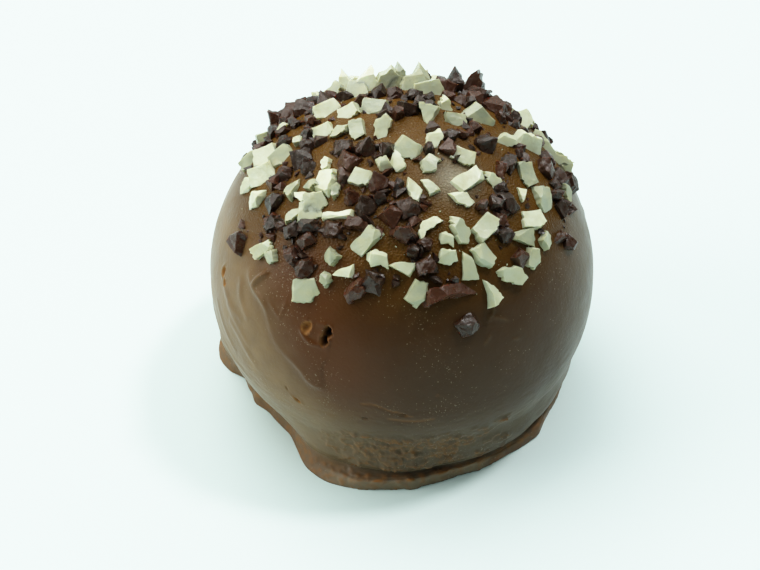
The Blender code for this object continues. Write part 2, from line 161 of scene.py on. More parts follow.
even = np.linspace(-180, 180, 3601)
reached = np.cumsum(1 + CLOSENESS * between(even, *CLOSE_SIDE))
reached -= reached[0]
bearings = np.interp(np.arange(COLUMNS) / COLUMNS * reached[-1], reached, even)
falls = np.concatenate([
    np.linspace(0, CAP_RINGS_END, CAP_RINGS + 1)[1:],
    np.linspace(CAP_RINGS_END, LAST_FALL, WALL_RINGS + 1)[1:],
])
rings = [wall_point(bearings, fall) for fall in falls]
waist_reach = np.hypot(rings[-1][:, 0], rings[-1][:, 1])
waist_height = rings[-1][:, 2]
ledge_reach = foot_radius(bearings) - FOOT_ROLL_INSET
ledge_height = FOOT_HEIGHT - FOOT_ROLL_INSET
sheer = between(bearings, *SHEER_SIDE)
foot_rings = LEDGE_RINGS + ROLL_RINGS
for step in range(1, foot_rings + 1):
    if step <= LEDGE_RINGS:
        share = step / LEDGE_RINGS
        reach = waist_reach + (ledge_reach - waist_reach) * share
        height = waist_height + (ledge_height - waist_height) * share
    else:
        angle = math.pi * (0.5 - (step - LEDGE_RINGS) / ROLL_RINGS)
        rise = math.copysign(abs(math.sin(angle)) ** ROLL_SQUARENESS, angle)
        reach = ledge_reach + FOOT_ROLL_INSET * max(math.cos(angle), 0) ** ROLL_SQUARENESS
        height = 0.5 * ledge_height * (1 + rise)
    share = step / foot_rings
    sheer_reach = waist_reach + (ledge_reach + FOOT_ROLL_INSET * share - waist_reach) * share
    reach = reach + (sheer_reach - reach) * sheer
    height = height + (waist_height * (1 - share) - height) * sheer
    rings.append(ring_at(bearings, reach, height))
for share in UNDERSIDE_RINGS:
    rings.append(ring_at(bearings, ledge_reach * share, 0))
ring_count = len(rings)
coat_points = np.concatenate([[[0, 0, BALL_HEIGHT + BALL_RADIUS]], *rings, [[0, 0, 0]]])

# For each point of the mesh: its bearing, its fall, and how far out it is on the foot
ring_falls = np.concatenate([falls, np.full(ring_count - len(falls), LAST_FALL)])
ring_out = np.concatenate([np.zeros(len(falls)), np.arange(1, ring_count - len(falls) + 1) / LEDGE_RINGS])
point_bearing = np.concatenate([[0], np.tile(bearings, ring_count), [0]])
point_fall = np.concatenate([[0], np.repeat(ring_falls, COLUMNS), [LAST_FALL]])
point_out = np.concatenate([[0], np.repeat(ring_out, COLUMNS), [ring_out[-1]]])
point_sheer = np.concatenate([[0], np.tile(sheer, ring_count), [0]])
underside_start = 1 + (ring_count - len(UNDERSIDE_RINGS) - 1) * COLUMNS
is_underside = np.arange(len(coat_points)) >= underside_start


def coat_faces():
    """The rings' quads, with a fan at the top and one in the middle of the underside."""
    faces = []
    last_point = len(coat_points) - 1
    last_ring = last_point - COLUMNS
    for left in range(COLUMNS):
        right = (left + 1) % COLUMNS
        faces.append((0, 1 + left, 1 + right))
        faces.append((last_point, last_ring + right, last_ring + left))
        for upper in range(1, last_ring, COLUMNS):
            lower = upper + COLUMNS
            faces.append((upper + left, lower + left, lower + right, upper + right))
    return faces


def placed(name, data):
    """An object in the scene with the given mesh, lamp or camera."""
    thing = bpy.data.objects.new(name, data)
    bpy.context.scene.collection.objects.link(thing)
    return thing


def new_piece(name, points, faces):
    data = bpy.data.meshes.new(name)
    data.from_pydata([tuple(point) for point in points], [], faces)
    data.update()
    return placed(name, data)


def add_values(piece, name, values, kind="FLOAT"):
    """Give each point of a piece a value that a material or a tree can read."""
    layer = piece.data.attributes.new(name, kind, "POINT")
    flat = np.ravel(values).astype(np.int32 if kind == "INT" else np.float32)
    layer.data.foreach_set("vector" if kind == "FLOAT_VECTOR" else "value", flat)


coat = new_piece("coat", coat_points, coat_faces())
coat_normals = np.empty(3 * len(coat_points))
coat.data.vertex_normals.foreach_get("vector", coat_normals)
coat_normals = coat_normals.reshape(-1, 3)

# Relief, in mm outwards along the normals, and five marks on the surface that its colour follows:
# chocolate broken fresh, painted shade in deep holes, the redder drip, a painted sheen on the sides
# and ridges, and painted light: a painted reflection low down, a painted highlight, a lit torn rim
SHEEN_LEFT = 0.72
SHEEN_RIGHT = 0.22
LOW_REFLECTION = 0.30
relief, broken, hole = np.zeros((3, len(coat_points)))
# Painted sheen: a grey-beige painted reflection and painted light on the left side, where the window lights
# the coat and the pale sheet reflects at a grazing angle, and a weaker band on the right
sheen_end = -31 + 13 * smooth_step(point_fall, 80, 100)
film = SHEEN_LEFT * between(point_bearing, (-150, -110), (sheen_end - 20, sheen_end + 20))
film += SHEEN_RIGHT * between(point_bearing, (45, 80), (120, 150))
film *= smooth_step(point_fall, 50, 66)
# Painted light: a grey painted reflection of the pale sheet on the lowest part of the wall
bloom = LOW_REFLECTION * smooth_step(point_fall, 94, 112)


def waves(points, length_x, length_y, length_z, octaves, seed):
    """Smooth noise from -1 to 1 at points in metres, with wavelengths in mm."""
    scale = 1 / (MM * np.array([length_x, length_y, length_z]))
    shifted = points * scale + seed * 7.31
    return np.array([
        noise.fractal(point, 1, 2, octaves, noise_basis="PERLIN_ORIGINAL") for point in shifted
    ])


def around(bearing, fall):
    """How far each point lies from a place, in mm: to the right, downhill, and in all."""
    turn = math.radians(bearing)
    offset = (coat_points - wall_point(bearing, fall)) / MM
    right = np.array([math.cos(turn), math.sin(turn), 0])
    return offset @ right, offset @ direction(bearing, fall + 90), np.linalg.norm(offset, axis=1)


def along(path):
    """Each point's distance from a path of places with rounded corners, in mm, its side (positive
    to the left of the way along the path), and how far along it lies, from 0 to 1."""
    corners = [wall_point(bearing, fall) / MM for bearing, fall in path]
    for _ in range(2):
        cuts = [a + (b - a) * part for a, b in zip(corners, corners[1:]) for part in (0.25, 0.75)]
        corners = [corners[0], *cuts, corners[-1]]
    distance = np.full(len(coat_points), 1e6)
    side = np.zeros(len(coat_points))
    share = np.zeros(len(coat_points))
    for index, (start, end) in enumerate(zip(corners, corners[1:])):
        leg = end - start
        offset = coat_points / MM - start
        part = np.clip(offset @ leg / (leg @ leg), 0, 1)
        away = np.linalg.norm(offset - part[:, None] * leg, axis=1)
        nearer = away < distance
        left = np.cross(coat_normals, leg)
        distance[nearer] = away[nearer]
        side[nearer] = np.sign(np.einsum("ij,ij->i", offset, left))[nearer]
        share[nearer] = ((index + part) / (len(corners) - 1))[nearer]
    return distance, side, share


def bell(distance, width):
    return np.exp(-(distance / width) ** 2)


def stroke(path, width, end=0, roundness=0.4):
    """A line along a path: 1 on it, fading away from it and towards both of its ends."""
    distance, _, share = along(path)
    return bell(distance, width) * np.sin(np.pi * np.clip(share, end, 1 - end)) ** roundness


# Long sags, and steeper ones that ran slantwise, most of them down the left side
SAG_HEIGHT = 0.055
sags = waves(coat_points, 3.2, 3.2, 9, 2, 1)
relief += SAG_HEIGHT * sags * smooth_step(point_fall, 50, 70)
RUNS = (
    ((-66, 76), (-60.5, 79), (-53, 80.5)), ((-62, 79.5), (-56.4, 82.2), (-52.4, 84.5), (-48.9, 87)),
    ((-60, 84), (-54, 86.4), (-50.5, 89.2), (-46, 93.5)), ((-70, 84), (-63, 90), (-57, 95)),
    ((-78, 92), (-70, 97), (-61, 101), (-52, 103)), ((-58, 68), (-56, 74), (-50, 78)),
    ((96, 70), (101, 77), (104, 84), (110, 90)), ((122, 92), (129, 96), (138, 98)),
    ((140, 66), (146, 74), (149, 82)), ((172, 74), (178, 80), (181, 88), (189, 94)),
    ((205, 78), (212, 86), (220, 91)),
)
RUN_HEIGHT = 0.075
RUN_WIDTH = 0.34
for run in RUNS:
    relief += RUN_HEIGHT * stroke(run, RUN_WIDTH, roundness=0.5)

# The fold: a thick drip whose edge stands over the coat below it. Inside it the coat swells
FOLD = (
    (-56.6, 63.5), (-51.8, 67.4), (-44.7, 69.2), (-41.6, 74), (-38.6, 79.2),
    (-35, 81), (-29.5, 83.6), (-26.8, 87.4), (-22.8, 88.3), (-20.4, 87.6),
)
DRIP_SPINE = ((-34, 58), (-28, 67), (-23, 74), (-19, 80))
DRIP_WIDTH = 3.9
FOLD_STEP = 0.17
FOLD_BEAD = 0.06
FOLD_BEAD_WIDTH = 0.42
FOLD_SWELL = 3.6
distance, side, share = along(FOLD)
fade = between(share, (0, 0.15), (0.75, 0.97)) * (1 - 0.6 * between(share, (0.22, 0.36), (0.52, 0.66)))
inside = side > 0
uneven = np.clip(0.9 + 0.7 * sags, 0.45, 1.3)
relief += fade * uneven * FOLD_BEAD * bell(distance, 0.6 * FOLD_BEAD_WIDTH)
relief += fade * FOLD_STEP * np.where(inside, 1 - smooth_step(distance, 0, FOLD_SWELL), 0)
relief += fade * FOLD_STEP * np.where(inside, 0, bell(distance, FOLD_BEAD_WIDTH))
ends = between(share, (0, 0.25), (0.70, 1))
edge_light = fade * uneven * bell(distance, 0.12)
beyond = 0.7 * np.where(inside, 0, 1 - bell(distance, 0.9)) * ends
redder = bell(along(DRIP_SPINE)[0], DRIP_WIDTH) * (1 - beyond)
# The fold's lit edge is added to the sheen as a painted highlight
film = np.maximum(film * (1 - 0.45 * redder), 0.4 * edge_light)

# Smaller marks: a nub and scratches left by a fork, and rims round the burst bubbles
RIDGES = (
    (((-51.1, 66.7), (-50.1, 64.6), (-48.7, 62.6), (-47.2, 60.9)), 0.26, 0.20),
    (((-43.4, 67.9), (-40.6, 69.6), (-38.3, 71.2)), 0.05, 0.12),
    (((-38.3, 71.2), (-37.6, 68.1), (-37.2, 65.5)), 0.05, 0.12),
    (((-30.6, 71.8), (-28.8, 73.5), (-26.6, 74.6), (-24, 74.4)), 0.12, 0.16),
    (((-25.6, 68.2), (-24, 67.8), (-22.6, 68)), 0.07, 0.14),
    (((26.2, 68), (28.6, 66), (29.5, 63.9)), 0.05, 0.10),
    (((28, 67.2), (30.9, 68.3), (33, 70)), 0.04, 0.10),
    (((24, 74.5), (25.5, 73.6), (26.6, 72)), 0.04, 0.09),
    (((33.5, 76), (35.5, 76.6)), 0.05, 0.12),
)
for path, height, width in RIDGES:
    line = stroke(path, width, 0.03)
    relief += height * line
    # A painted highlight along each ridge's crest
    film = np.maximum(film, 0.16 * line)

# Hollows: bearing, fall, half width and half height (mm), slant (degrees), depth (mm), how
# fresh its break is and how much painted shade darkens its bottom
HOLLOWS = (
    (-22.2, 70.2, 0.30, 0.48, 10, 1.20, 0.6, 1),
    (-22.8, 72.7, 0.32, 0.44, -15, 1.20, 0.6, 1),
    (-28.8, 70.4, 0.34, 0.46, 15, 0.34, 1, 0.1),
    (-68.2, 73.2, 0.26, 0.44, 0, 0.30, 1, 0.1),
    (-65.6, 75.3, 0.20, 0.24, 0, 0.24, 1, 0),
    (-31.7, 97.6, 0.44, 0.16, 25, 0.26, 1, 0),
    (-35, 94.5, 0.10, 0.30, -20, 0.10, 0.1, 0.3),
    (-10.6, 98, 0.30, 0.10, 0, 0.16, 0.2, 0.6),
    (0.8, 95.2, 0.50, 0.09, 12, 0.13, 0.3, 0.5),
    (10, 88, 0.14, 0.10, 0, 0.10, 0.2, 0.3),
    (116, 83, 0.26, 0.36, 10, 0.40, 0.8, 0.4),
    (161, 93, 0.40, 0.14, 15, 0.20, 0.9, 0),
    (197, 75, 0.26, 0.42, -10, 0.30, 0.9, 0.2),
)
ragged = waves(coat_points, 0.5, 0.5, 0.5, 3, 5)
for bearing, fall, half_width, half_height, slant, depth, fresh, dark in HOLLOWS:
    across, down, away = around(bearing, fall)
    tilt = math.radians(slant)
    u = (across * math.cos(tilt) + down * math.sin(tilt)) / half_width
    v = (down * math.cos(tilt) - across * math.sin(tilt)) / half_height
    out = np.where(away < 4, np.hypot(u, v) + 0.45 * ragged, 99)
    relief -= depth * (1 - smooth_step(out, 0.35, 1.05))
    relief += 0.12 * min(depth, 0.5) * bell(out - 1.3, 0.3) * (1 + 2 * ragged)
    broken = np.maximum(broken, fresh * (1 - smooth_step(out, 0.9, 1.3)))
    # Painted shade: the bottom of each hollow is coloured near black
    hole = np.maximum(hole, dark * (1 - smooth_step(out, 0.6, 1)))

# Cracks low down: paths of places, depth and width in mm
CRACKS = (
    (((-11.7, 91.8), (-9, 91.2), (-7.5, 91.5), (-5, 92.6)), 0.05, 0.07),
    (((-5.4, 92.4), (-3.3, 93.6), (-1, 94), (2, 95.4)), 0.06, 0.07),
    (((-4, 97), (3, 98), (9, 97.2)), 0.04, 0.10),
    (((150, 99), (156, 97.6), (163, 99.2), (170, 98.4)), 0.06, 0.10),
)
for path, depth, width in CRACKS:
    line = stroke(path, width, 0.05)
    relief -= depth * line
    broken = np.maximum(broken, 0.40 * line)

# Broken patches, one in front and one behind: short level flakes that tore where the coat was
# lifted off its sheet. Each rises slowly downhill and breaks off at its lower edge. A patch has
# its number of flakes, its bearings (first, last and most common) and its falls
FLAKE_SEED = 23
FLAKE_PATCHES = (
    (230, (-29, 42, -4), (106, 123)),
    (110, (126, 206, 166), (107, 122)),
)
FLAKE_LENGTH = (0.4, 1.7)
FLAKE_RISE = (0.22, 0.60)
FLAKE_HEIGHT = (0.05, 0.15)
draw = random.Random(FLAKE_SEED)
for flakes, patch_bearings, patch_falls in FLAKE_PATCHES:
    for count in range(flakes):
        bearing = draw.triangular(*patch_bearings)
        fall = draw.uniform(*patch_falls)
        length = draw.uniform(*FLAKE_LENGTH)
        rise = draw.uniform(*FLAKE_RISE)
        height = draw.uniform(*FLAKE_HEIGHT)
        across, down, away = around(bearing, fall)
        near = away < length
        edge = down[near] + 0.22 * ragged[near] + 0.10 * np.sin(3 * across[near] + count)
        ramp = np.clip(1 + edge / rise, 0, 1) * (edge < 0)
        fade = 1 - smooth_step(np.abs(across[near]), 0.30 * length, 0.55 * length)
        relief[near] += height * ramp * fade
        lip = 0.6 * bell(edge, 0.09) * fade * smooth_step(height, *FLAKE_HEIGHT)
        broken[near] = np.maximum(broken[near], lip)

# The foot: a crease under the wall, a lumpy ledge, and a torn rim
CREASE_DEPTH = 0.05
LIP_HEIGHT = 0.07
TORN_MIDDLE = 2
TORN_REACH = (22, 34)
RIM_RAGGED = 0.13
LEDGE_LUMPS = 0.09
fine = waves(coat_points, 1.2, 1.2, 0.6, 3, 9)
coarse = waves(coat_points, 1.9, 1.9, 1.9, 2, 11)
waist_line = bell(coat_points[:, 2] / MM - WAIST_HEIGHT / MM - 0.05, 0.28) * (point_out < 0.5)
waist_line *= smooth_step(point_fall, 118, 123)
relief -= CREASE_DEPTH * waist_line * (1 - point_sheer)
relief += LIP_HEIGHT * waist_line * point_sheer
torn = 1 - smooth_step(np.abs(point_bearing - TORN_MIDDLE), *TORN_REACH)
on_ledge = smooth_step(point_out, 0, 0.5) * ~is_underside
relief += on_ledge * (0.35 + 0.65 * torn) * (LEDGE_LUMPS * fine + 0.5 * RIM_RAGGED * coarse + 0.06 * ragged)
rim_line = bell(point_out - 1, 0.18) * ~is_underside * (1 - point_sheer)
relief += rim_line * torn * RIM_RAGGED * np.abs(fine)
broken = np.maximum(broken, rim_line * smooth_step(fine, -0.1, 0.5) * (0.3 + 0.7 * torn))
broken = np.maximum(broken, 0.20 * smooth_step(point_out, 0.9, 1.2) * ~is_underside)
broken = np.maximum(broken, on_ledge * np.clip(0.25 + 0.5 * ragged, 0, 0.6))
# Painted light: the torn rim, which lies in the ball's shade, is made paler
bloom = np.maximum(bloom, 0.9 * torn * smooth_step(point_out, 0.75, 1) * ~is_underside)
broken = np.maximum(broken, 0.15 * point_sheer * smooth_step(point_out, 0.05, 0.25) * ~is_underside)
film *= 1 - 0.7 * smooth_step(point_out, 0, 0.3)
# A painted highlight on the crown, where the small lamp's light reflects
glare = around(33, 27)[2]
bloom = np.maximum(bloom, 0.95 * bell(glare, 1.6))

# Skin: low bumps all over, and level dints low down
SKIN_HEIGHT = 0.010
DINT_DEPTH = 0.045
relief += SKIN_HEIGHT * waves(coat_points, 0.9, 0.9, 0.9, 3, 14)
dints = waves(coat_points, 1.5, 1.5, 0.45, 3, 17)
dints = np.minimum(dints + 0.1, 0) * smooth_step(point_fall, 86, 100) * (point_out == 0)
relief += DINT_DEPTH * dints
relief[is_underside] = 0
coat_points = coat_points + coat_normals * relief[:, None] * MM
coat_points[:, 2] = np.maximum(coat_points[:, 2], 0)
coat.data.vertices.foreach_set("co", coat_points.ravel())
coat_marks = {
    "broken": broken, "hole": hole, "redder": redder, "film": film, "bloom": bloom, "fall": point_fall,
}
for name, values in coat_marks.items():
    add_values(coat, name, values)
coat.data.update()
coat.data.shade_smooth()


def linear(hex_colour):
    """The linear colour of an sRGB hex value."""
    parts = [int(hex_colour[start:start + 2], 16) / 255 for start in (0, 2, 4)]
    return (*[part / 12.92 if part <= 0.04045 else ((part + 0.055) / 1.055) ** 2.4 for part in parts], 1)


def add_node(tree, kind, inputs=None, **settings):
    """Add a node with its settings. Each input takes a value, a socket, or the first socket in
    use of a node."""
    node = tree.nodes.new(kind)
    for name, value in settings.items():
        setattr(node, name, value)
    for key, value in (inputs or {}).items():
        if isinstance(value, bpy.types.Node):
            value = next(socket for socket in value.outputs if socket.enabled)
        if isinstance(value, bpy.types.NodeSocket):
            tree.links.new(value, node.inputs[key])
        else:
            node.inputs[key].default_value = value
    return node


def new_material(name):
    """A material with an empty tree, and the socket of Object coordinates in it."""
    material = bpy.data.materials.new(name)
    material.use_nodes = True
    material.node_tree.nodes.clear()
    place = add_node(material.node_tree, "ShaderNodeTexCoord").outputs["Object"]
    return material, material.node_tree, place


# Sockets of the Mix node for colours
MIX_FACTOR, MIX_A, MIX_B = 0, 6, 7


def layered(tree, colour, layers):
    """A colour under thin layers, each with the share that it covers and its own colour."""
    for share, hex_colour in layers:
        colour = add_node(tree, "ShaderNodeMix", {
            MIX_FACTOR: share, MIX_A: colour, MIX_B: linear(hex_colour),
        }, data_type="RGBA")
    return colour


def milk_chocolate():
    """Tempered milk chocolate: satin where it ran smooth, grained on the crown, paler and
    orange-brown where it broke, with specks of dust. Painted in: a paler lit crown, a grey painted
    sheen, a painted reflection low down, a painted highlight with glints, and painted shade in holes."""
    material, tree, place = new_material("milk_chocolate")
    marks = {
        name: add_node(tree, "ShaderNodeAttribute", attribute_name=name).outputs["Fac"] for name in coat_marks
    }
    mottle = add_node(tree, "ShaderNodeTexNoise", {"Vector": place, "Scale": 1 / (5 * MM), "Detail": 3})
    # The crown: its grain, and its colour made paler and more orange, painted light where light falls on the
    # top
    crown = add_node(tree, "ShaderNodeMapRange", {
        "Value": marks["fall"], "From Min": 46, "From Max": 66, "To Min": 1, "To Max": 0,
    })
    clouds = add_node(tree, "ShaderNodeTexNoise", {"Vector": place, "Scale": 1 / (1.6 * MM), "Detail": 4})
    cloudy = add_node(tree, "ShaderNodeMapRange", {
        "Value": clouds, "From Min": 0.3, "From Max": 0.7, "To Min": 0.7, "To Max": 1,
    })
    # The painted sheen, broken up by clouds
    sheen_share = add_node(tree, "ShaderNodeMath", {0: marks["film"], 1: cloudy}, operation="MULTIPLY")
    specks = add_node(tree, "ShaderNodeTexNoise", {"Vector": place, "Scale": 1 / (0.14 * MM), "Detail": 1})
    thick = add_node(tree, "ShaderNodeMapRange", {
        "Value": mottle, "From Min": 0.38, "From Max": 0.62, "To Min": 0.78, "To Max": 0.65,
    })
    # Painted glints: extra pale specks inside the painted highlight on the crown
    painted_glints = add_node(tree, "ShaderNodeMath", {0: crown, 1: marks["bloom"]}, operation="MULTIPLY")
    strewn = add_node(tree, "ShaderNodeMath", {0: painted_glints, 1: 0.16, 2: specks}, operation="MULTIPLY_ADD")
    speck = add_node(tree, "ShaderNodeMath", {0: strewn, 1: thick}, operation="SUBTRACT")
    speck_share = add_node(tree, "ShaderNodeMapRange", {
        "Value": speck, "From Min": 0, "From Max": 0.06, "To Min": 0, "To Max": 0.4,
    })
    # Of these layers, the paler crown, the grey sheen and the pale grey layer are painted light, and the
    # near-black layer in holes is painted shade
    colour = layered(tree, linear("3A2614"), (
        (mottle, "4A321C"), (crown, "56390C"), (sheen_share, "866B4B"), (marks["redder"], "512F15"),
        (marks["bloom"], "807766"), (marks["broken"], "8A5E32"), (marks["hole"], "060403"),
        (speck_share, "A1937C"),
    ))
    grain = add_node(tree, "ShaderNodeTexVoronoi", {"Vector": place, "Scale": 1 / (0.16 * MM)})
    gloss = add_node(tree, "ShaderNodeMapRange", {
        "Value": clouds, "From Min": 0.3, "From Max": 0.7, "To Min": 0.30, "To Max": 0.42,
    })
    rough = add_node(tree, "ShaderNodeMath", {
        0: marks["broken"], 1: 0.35, 2: gloss,
    }, operation="MULTIPLY_ADD")
    grained = add_node(tree, "ShaderNodeBump", {"Strength": crown, "Distance": 0.06 * MM, "Height": grain})
    skin = add_node(tree, "ShaderNodeTexNoise", {"Vector": place, "Scale": 1 / (0.30 * MM), "Detail": 5})
    bumps = add_node(tree, "ShaderNodeBump", {
        "Strength": 1, "Distance": 0.022 * MM, "Height": skin, "Normal": grained,
    })
    shader = add_node(tree, "ShaderNodeBsdfPrincipled", {
        "Base Color": colour, "Roughness": rough, "IOR": 1.47, "Specular IOR Level": 0.17,
        "Subsurface Weight": 0.10, "Subsurface Radius": (1, 0.38, 0.16), "Subsurface Scale": 0.9 * MM,
        "Normal": bumps,
    })
    add_node(tree, "ShaderNodeOutputMaterial", {"Surface": shader})
    return material


coat.data.materials.append(milk_chocolate())
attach(coat, "root")
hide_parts("praline")

# The chips on the cap
# Slabs of white and dark chocolate, broken small and strewn on the wet coat, which holds them
# by their lower faces. White ones are flat waxy flakes, dark ones are chunky splinters.

# The camera's eye looks down on the side in front. A chip's face shows a little off the coat
EYE_ELEVATION = math.radians(40)
EYE_DISTANCE = 135 * MM
NEAR_SIDE = Vector((0, -math.cos(EYE_ELEVATION), math.sin(EYE_ELEVATION)))
HIGH_SIDE = Vector((0, math.sin(EYE_ELEVATION), math.cos(EYE_ELEVATION)))
FACE_REACH = 0.45 * MM

# Outlines of broken chips, for a length of 1 along the first axis
OUTLINES = {
    "bar": ((-0.50, -0.20), (0.47, -0.24), (0.50, 0.17), (-0.46, 0.24)),
    "slab": ((-0.50, -0.24), (0.12, -0.38), (0.48, -0.20), (0.42, 0.30), (-0.36, 0.35)),
    "wedge": ((-0.50, -0.02), (0.40, -0.36), (0.50, 0.28), (-0.30, 0.16)),
    "fang": ((-0.50, -0.10), (0.02, -0.14), (0.50, -0.28), (0.44, 0.26), (-0.06, 0.20)),
    "curl": ((-0.50, -0.24), (-0.10, 0.06), (0.50, -0.06), (0.46, 0.18), (0.06, 0.34), (-0.34, 0.18)),
    "shard": ((-0.50, 0.08), (-0.14, -0.34), (0.16, -0.14), (0.50, -0.30), (0.32, 0.28), (-0.18, 0.36)),
    "leaf": ((-0.50, 0.00), (-0.10, -0.25), (0.36, -0.20), (0.50, 0.06), (0.14, 0.25), (-0.26, 0.19)),
    "block": ((-0.46, -0.38), (0.42, -0.44), (0.50, 0.34), (-0.36, 0.44)),
    "stick": ((-0.50, -0.12), (0.50, -0.10), (0.49, 0.12), (-0.48, 0.10)),
}

# Chips that show: outline, mm right and mm up of the ball's middle as the eye sees them, turn of
# its length (degrees), length as seen (mm), and how far one that stands is tipped up (degrees)
WHITE_CHIPS = (
    ("bar", -3, 2.3, 47, 3), ("shard", -2, 0.85, -10, 2.4), ("wedge", 0, 0.2, -10, 2.3),
    ("slab", 1.2, -1.9, 60, 2.4), ("curl", 2.2, 3.2, 42, 3), ("shard", 3.6, 2.5, -15, 1.8),
    ("slab", 3.7, 1.1, 0, 1.8), ("leaf", 4.6, 3.3, -60, 2.8), ("slab", 6.7, 3.4, 54, 2.6),
    ("slab", 6.6, 1.2, -45, 2.3), ("wedge", 5.4, 0.3, -75, 2.6), ("fang", 7.2, -1.8, -65, 2.4),
    ("leaf", 8.8, -0.35, -12, 3.2), ("slab", 10.5, 0.95, 80, 1.9), ("wedge", 9.8, 2.7, 14, 2.9),
    ("slab", 11.6, 2.4, 60, 1.6), ("slab", 10.6, 4.1, 20, 2.5), ("slab", 11.4, 5.7, -60, 2.4),
    ("slab", 10.1, 7.8, -55, 2.4, 15), ("wedge", 9.7, 6.1, 95, 1.3), ("leaf", 7.4, 7.3, -40, 2.3, 10),
    ("bar", 5.3, 7.3, 42, 3, 10), ("leaf", 4.8, 5.8, -12, 2.4), ("slab", 4.95, 9.2, -10, 2.2, 20),
    ("slab", 0.4, 9.9, -25, 2.7, 15), ("leaf", -0.35, 8.8, -75, 2.4, 15), ("shard", 2.3, 8.5, 60, 2.2, 15),
    ("leaf", 0.9, 6.5, -65, 2.5), ("wedge", 2.2, 6.8, -45, 1.8), ("slab", -1.45, 8.5, -60, 1.6, 15),
    ("slab", -3.4, 7.5, -15, 2.4), ("stick", -5.2, 4.4, -3, 2.6), ("slab", -6.2, 7.1, 75, 2.7),
    ("leaf", -6.1, 8.5, 80, 1.5, 10), ("wedge", -8.8, 6.6, -130, 2), ("slab", -7.1, 5.4, 10, 2.4),
    ("leaf", -8.9, 4.3, 35, 1.9), ("leaf", -11.8, 5.6, 25, 2.3), ("bar", -11.2, 1.75, 25, 2.1),
    ("block", -10.6, 1.05, 20, 1.5), ("block", -5.7, 1.1, -30, 1.6), ("wedge", -4.7, -0.2, 10, 1.9),
    ("shard", -6.1, -0.7, -60, 1.4), ("slab", -7.9, -1.6, 12, 2.7), ("leaf", 13.3, 6.2, -30, 1.9, 15),
    ("slab", -2.3, 13.2, -15, 2.5, 35), ("leaf", -1.7, 11.4, 70, 2.9, 35),
    ("slab", -3.6, 11.4, -75, 2.1, 35), ("slab", -4.35, 12.8, 10, 2.1, 35),
    ("slab", -6.05, 12.9, 10, 2.6, 40), ("slab", -6.45, 11.3, 10, 2, 30), ("wedge", 2.1, 12.5, 95, 2.4, 40),
    ("leaf", 2.5, 10.5, 62, 2.4, 30), ("leaf", 3.5, 13.3, -80, 2.2, 50), ("slab", 4.3, 12.2, 5, 2.1, 40),
    ("slab", 6.3, 12.3, -20, 2.9, 45), ("leaf", 8.4, 10.5, 45, 2.6, 35), ("slab", 10.2, 10.1, 20, 3, 50),
    ("slab", 9.5, 12.1, 60, 2.7, 65), ("fang", 12.2, 9.4, 200, 4.4, 68), ("fang", -4.5, 14.8, -95, 3.6, 75),
    ("slab", -3.7, 14.3, 65, 2.8, 55), ("shard", -2.4, 14.8, 110, 3.4, 70), ("wedge", -0.5, 15, -98, 4, 75),
    ("leaf", 0.7, 14.8, 60, 3.6, 68), ("slab", 2.2, 14.5, 20, 2.8, 60), ("leaf", 1.6, 15.1, -75, 3.7, 80),
    ("leaf", -1.3, 14.9, 70, 3.5, 75), ("leaf", -5.5, 14.2, 70, 2.6, 65),
    ("slab", -11.1, 10.6, -15, 2.2, 60), ("slab", -11, 9.3, -10, 2.6, 45), ("leaf", 12.9, 8.8, 0, 3, 65),
    ("slab", -11.3, 7.8, -5, 2.9, 30), ("slab", -9.8, 9.2, 20, 2.4, 30), ("shard", -9.6, 11.5, 20, 1.3, 40),
    ("slab", -12.3, 8.8, 5, 2, 55), ("block", -8.3, 10.5, 0, 1.1, 20), ("leaf", -12.5, 6.8, 10, 2.2, 35),
    ("slab", -7.5, 4.6, 5, 2.4), ("leaf", -8, 5.9, -40, 1.8), ("shard", -7.2, 6.8, 20, 1.6),
    ("leaf", -5.1, 11.2, 20, 2, 30), ("leaf", -5.4, 6.3, 75, 1.6),
)
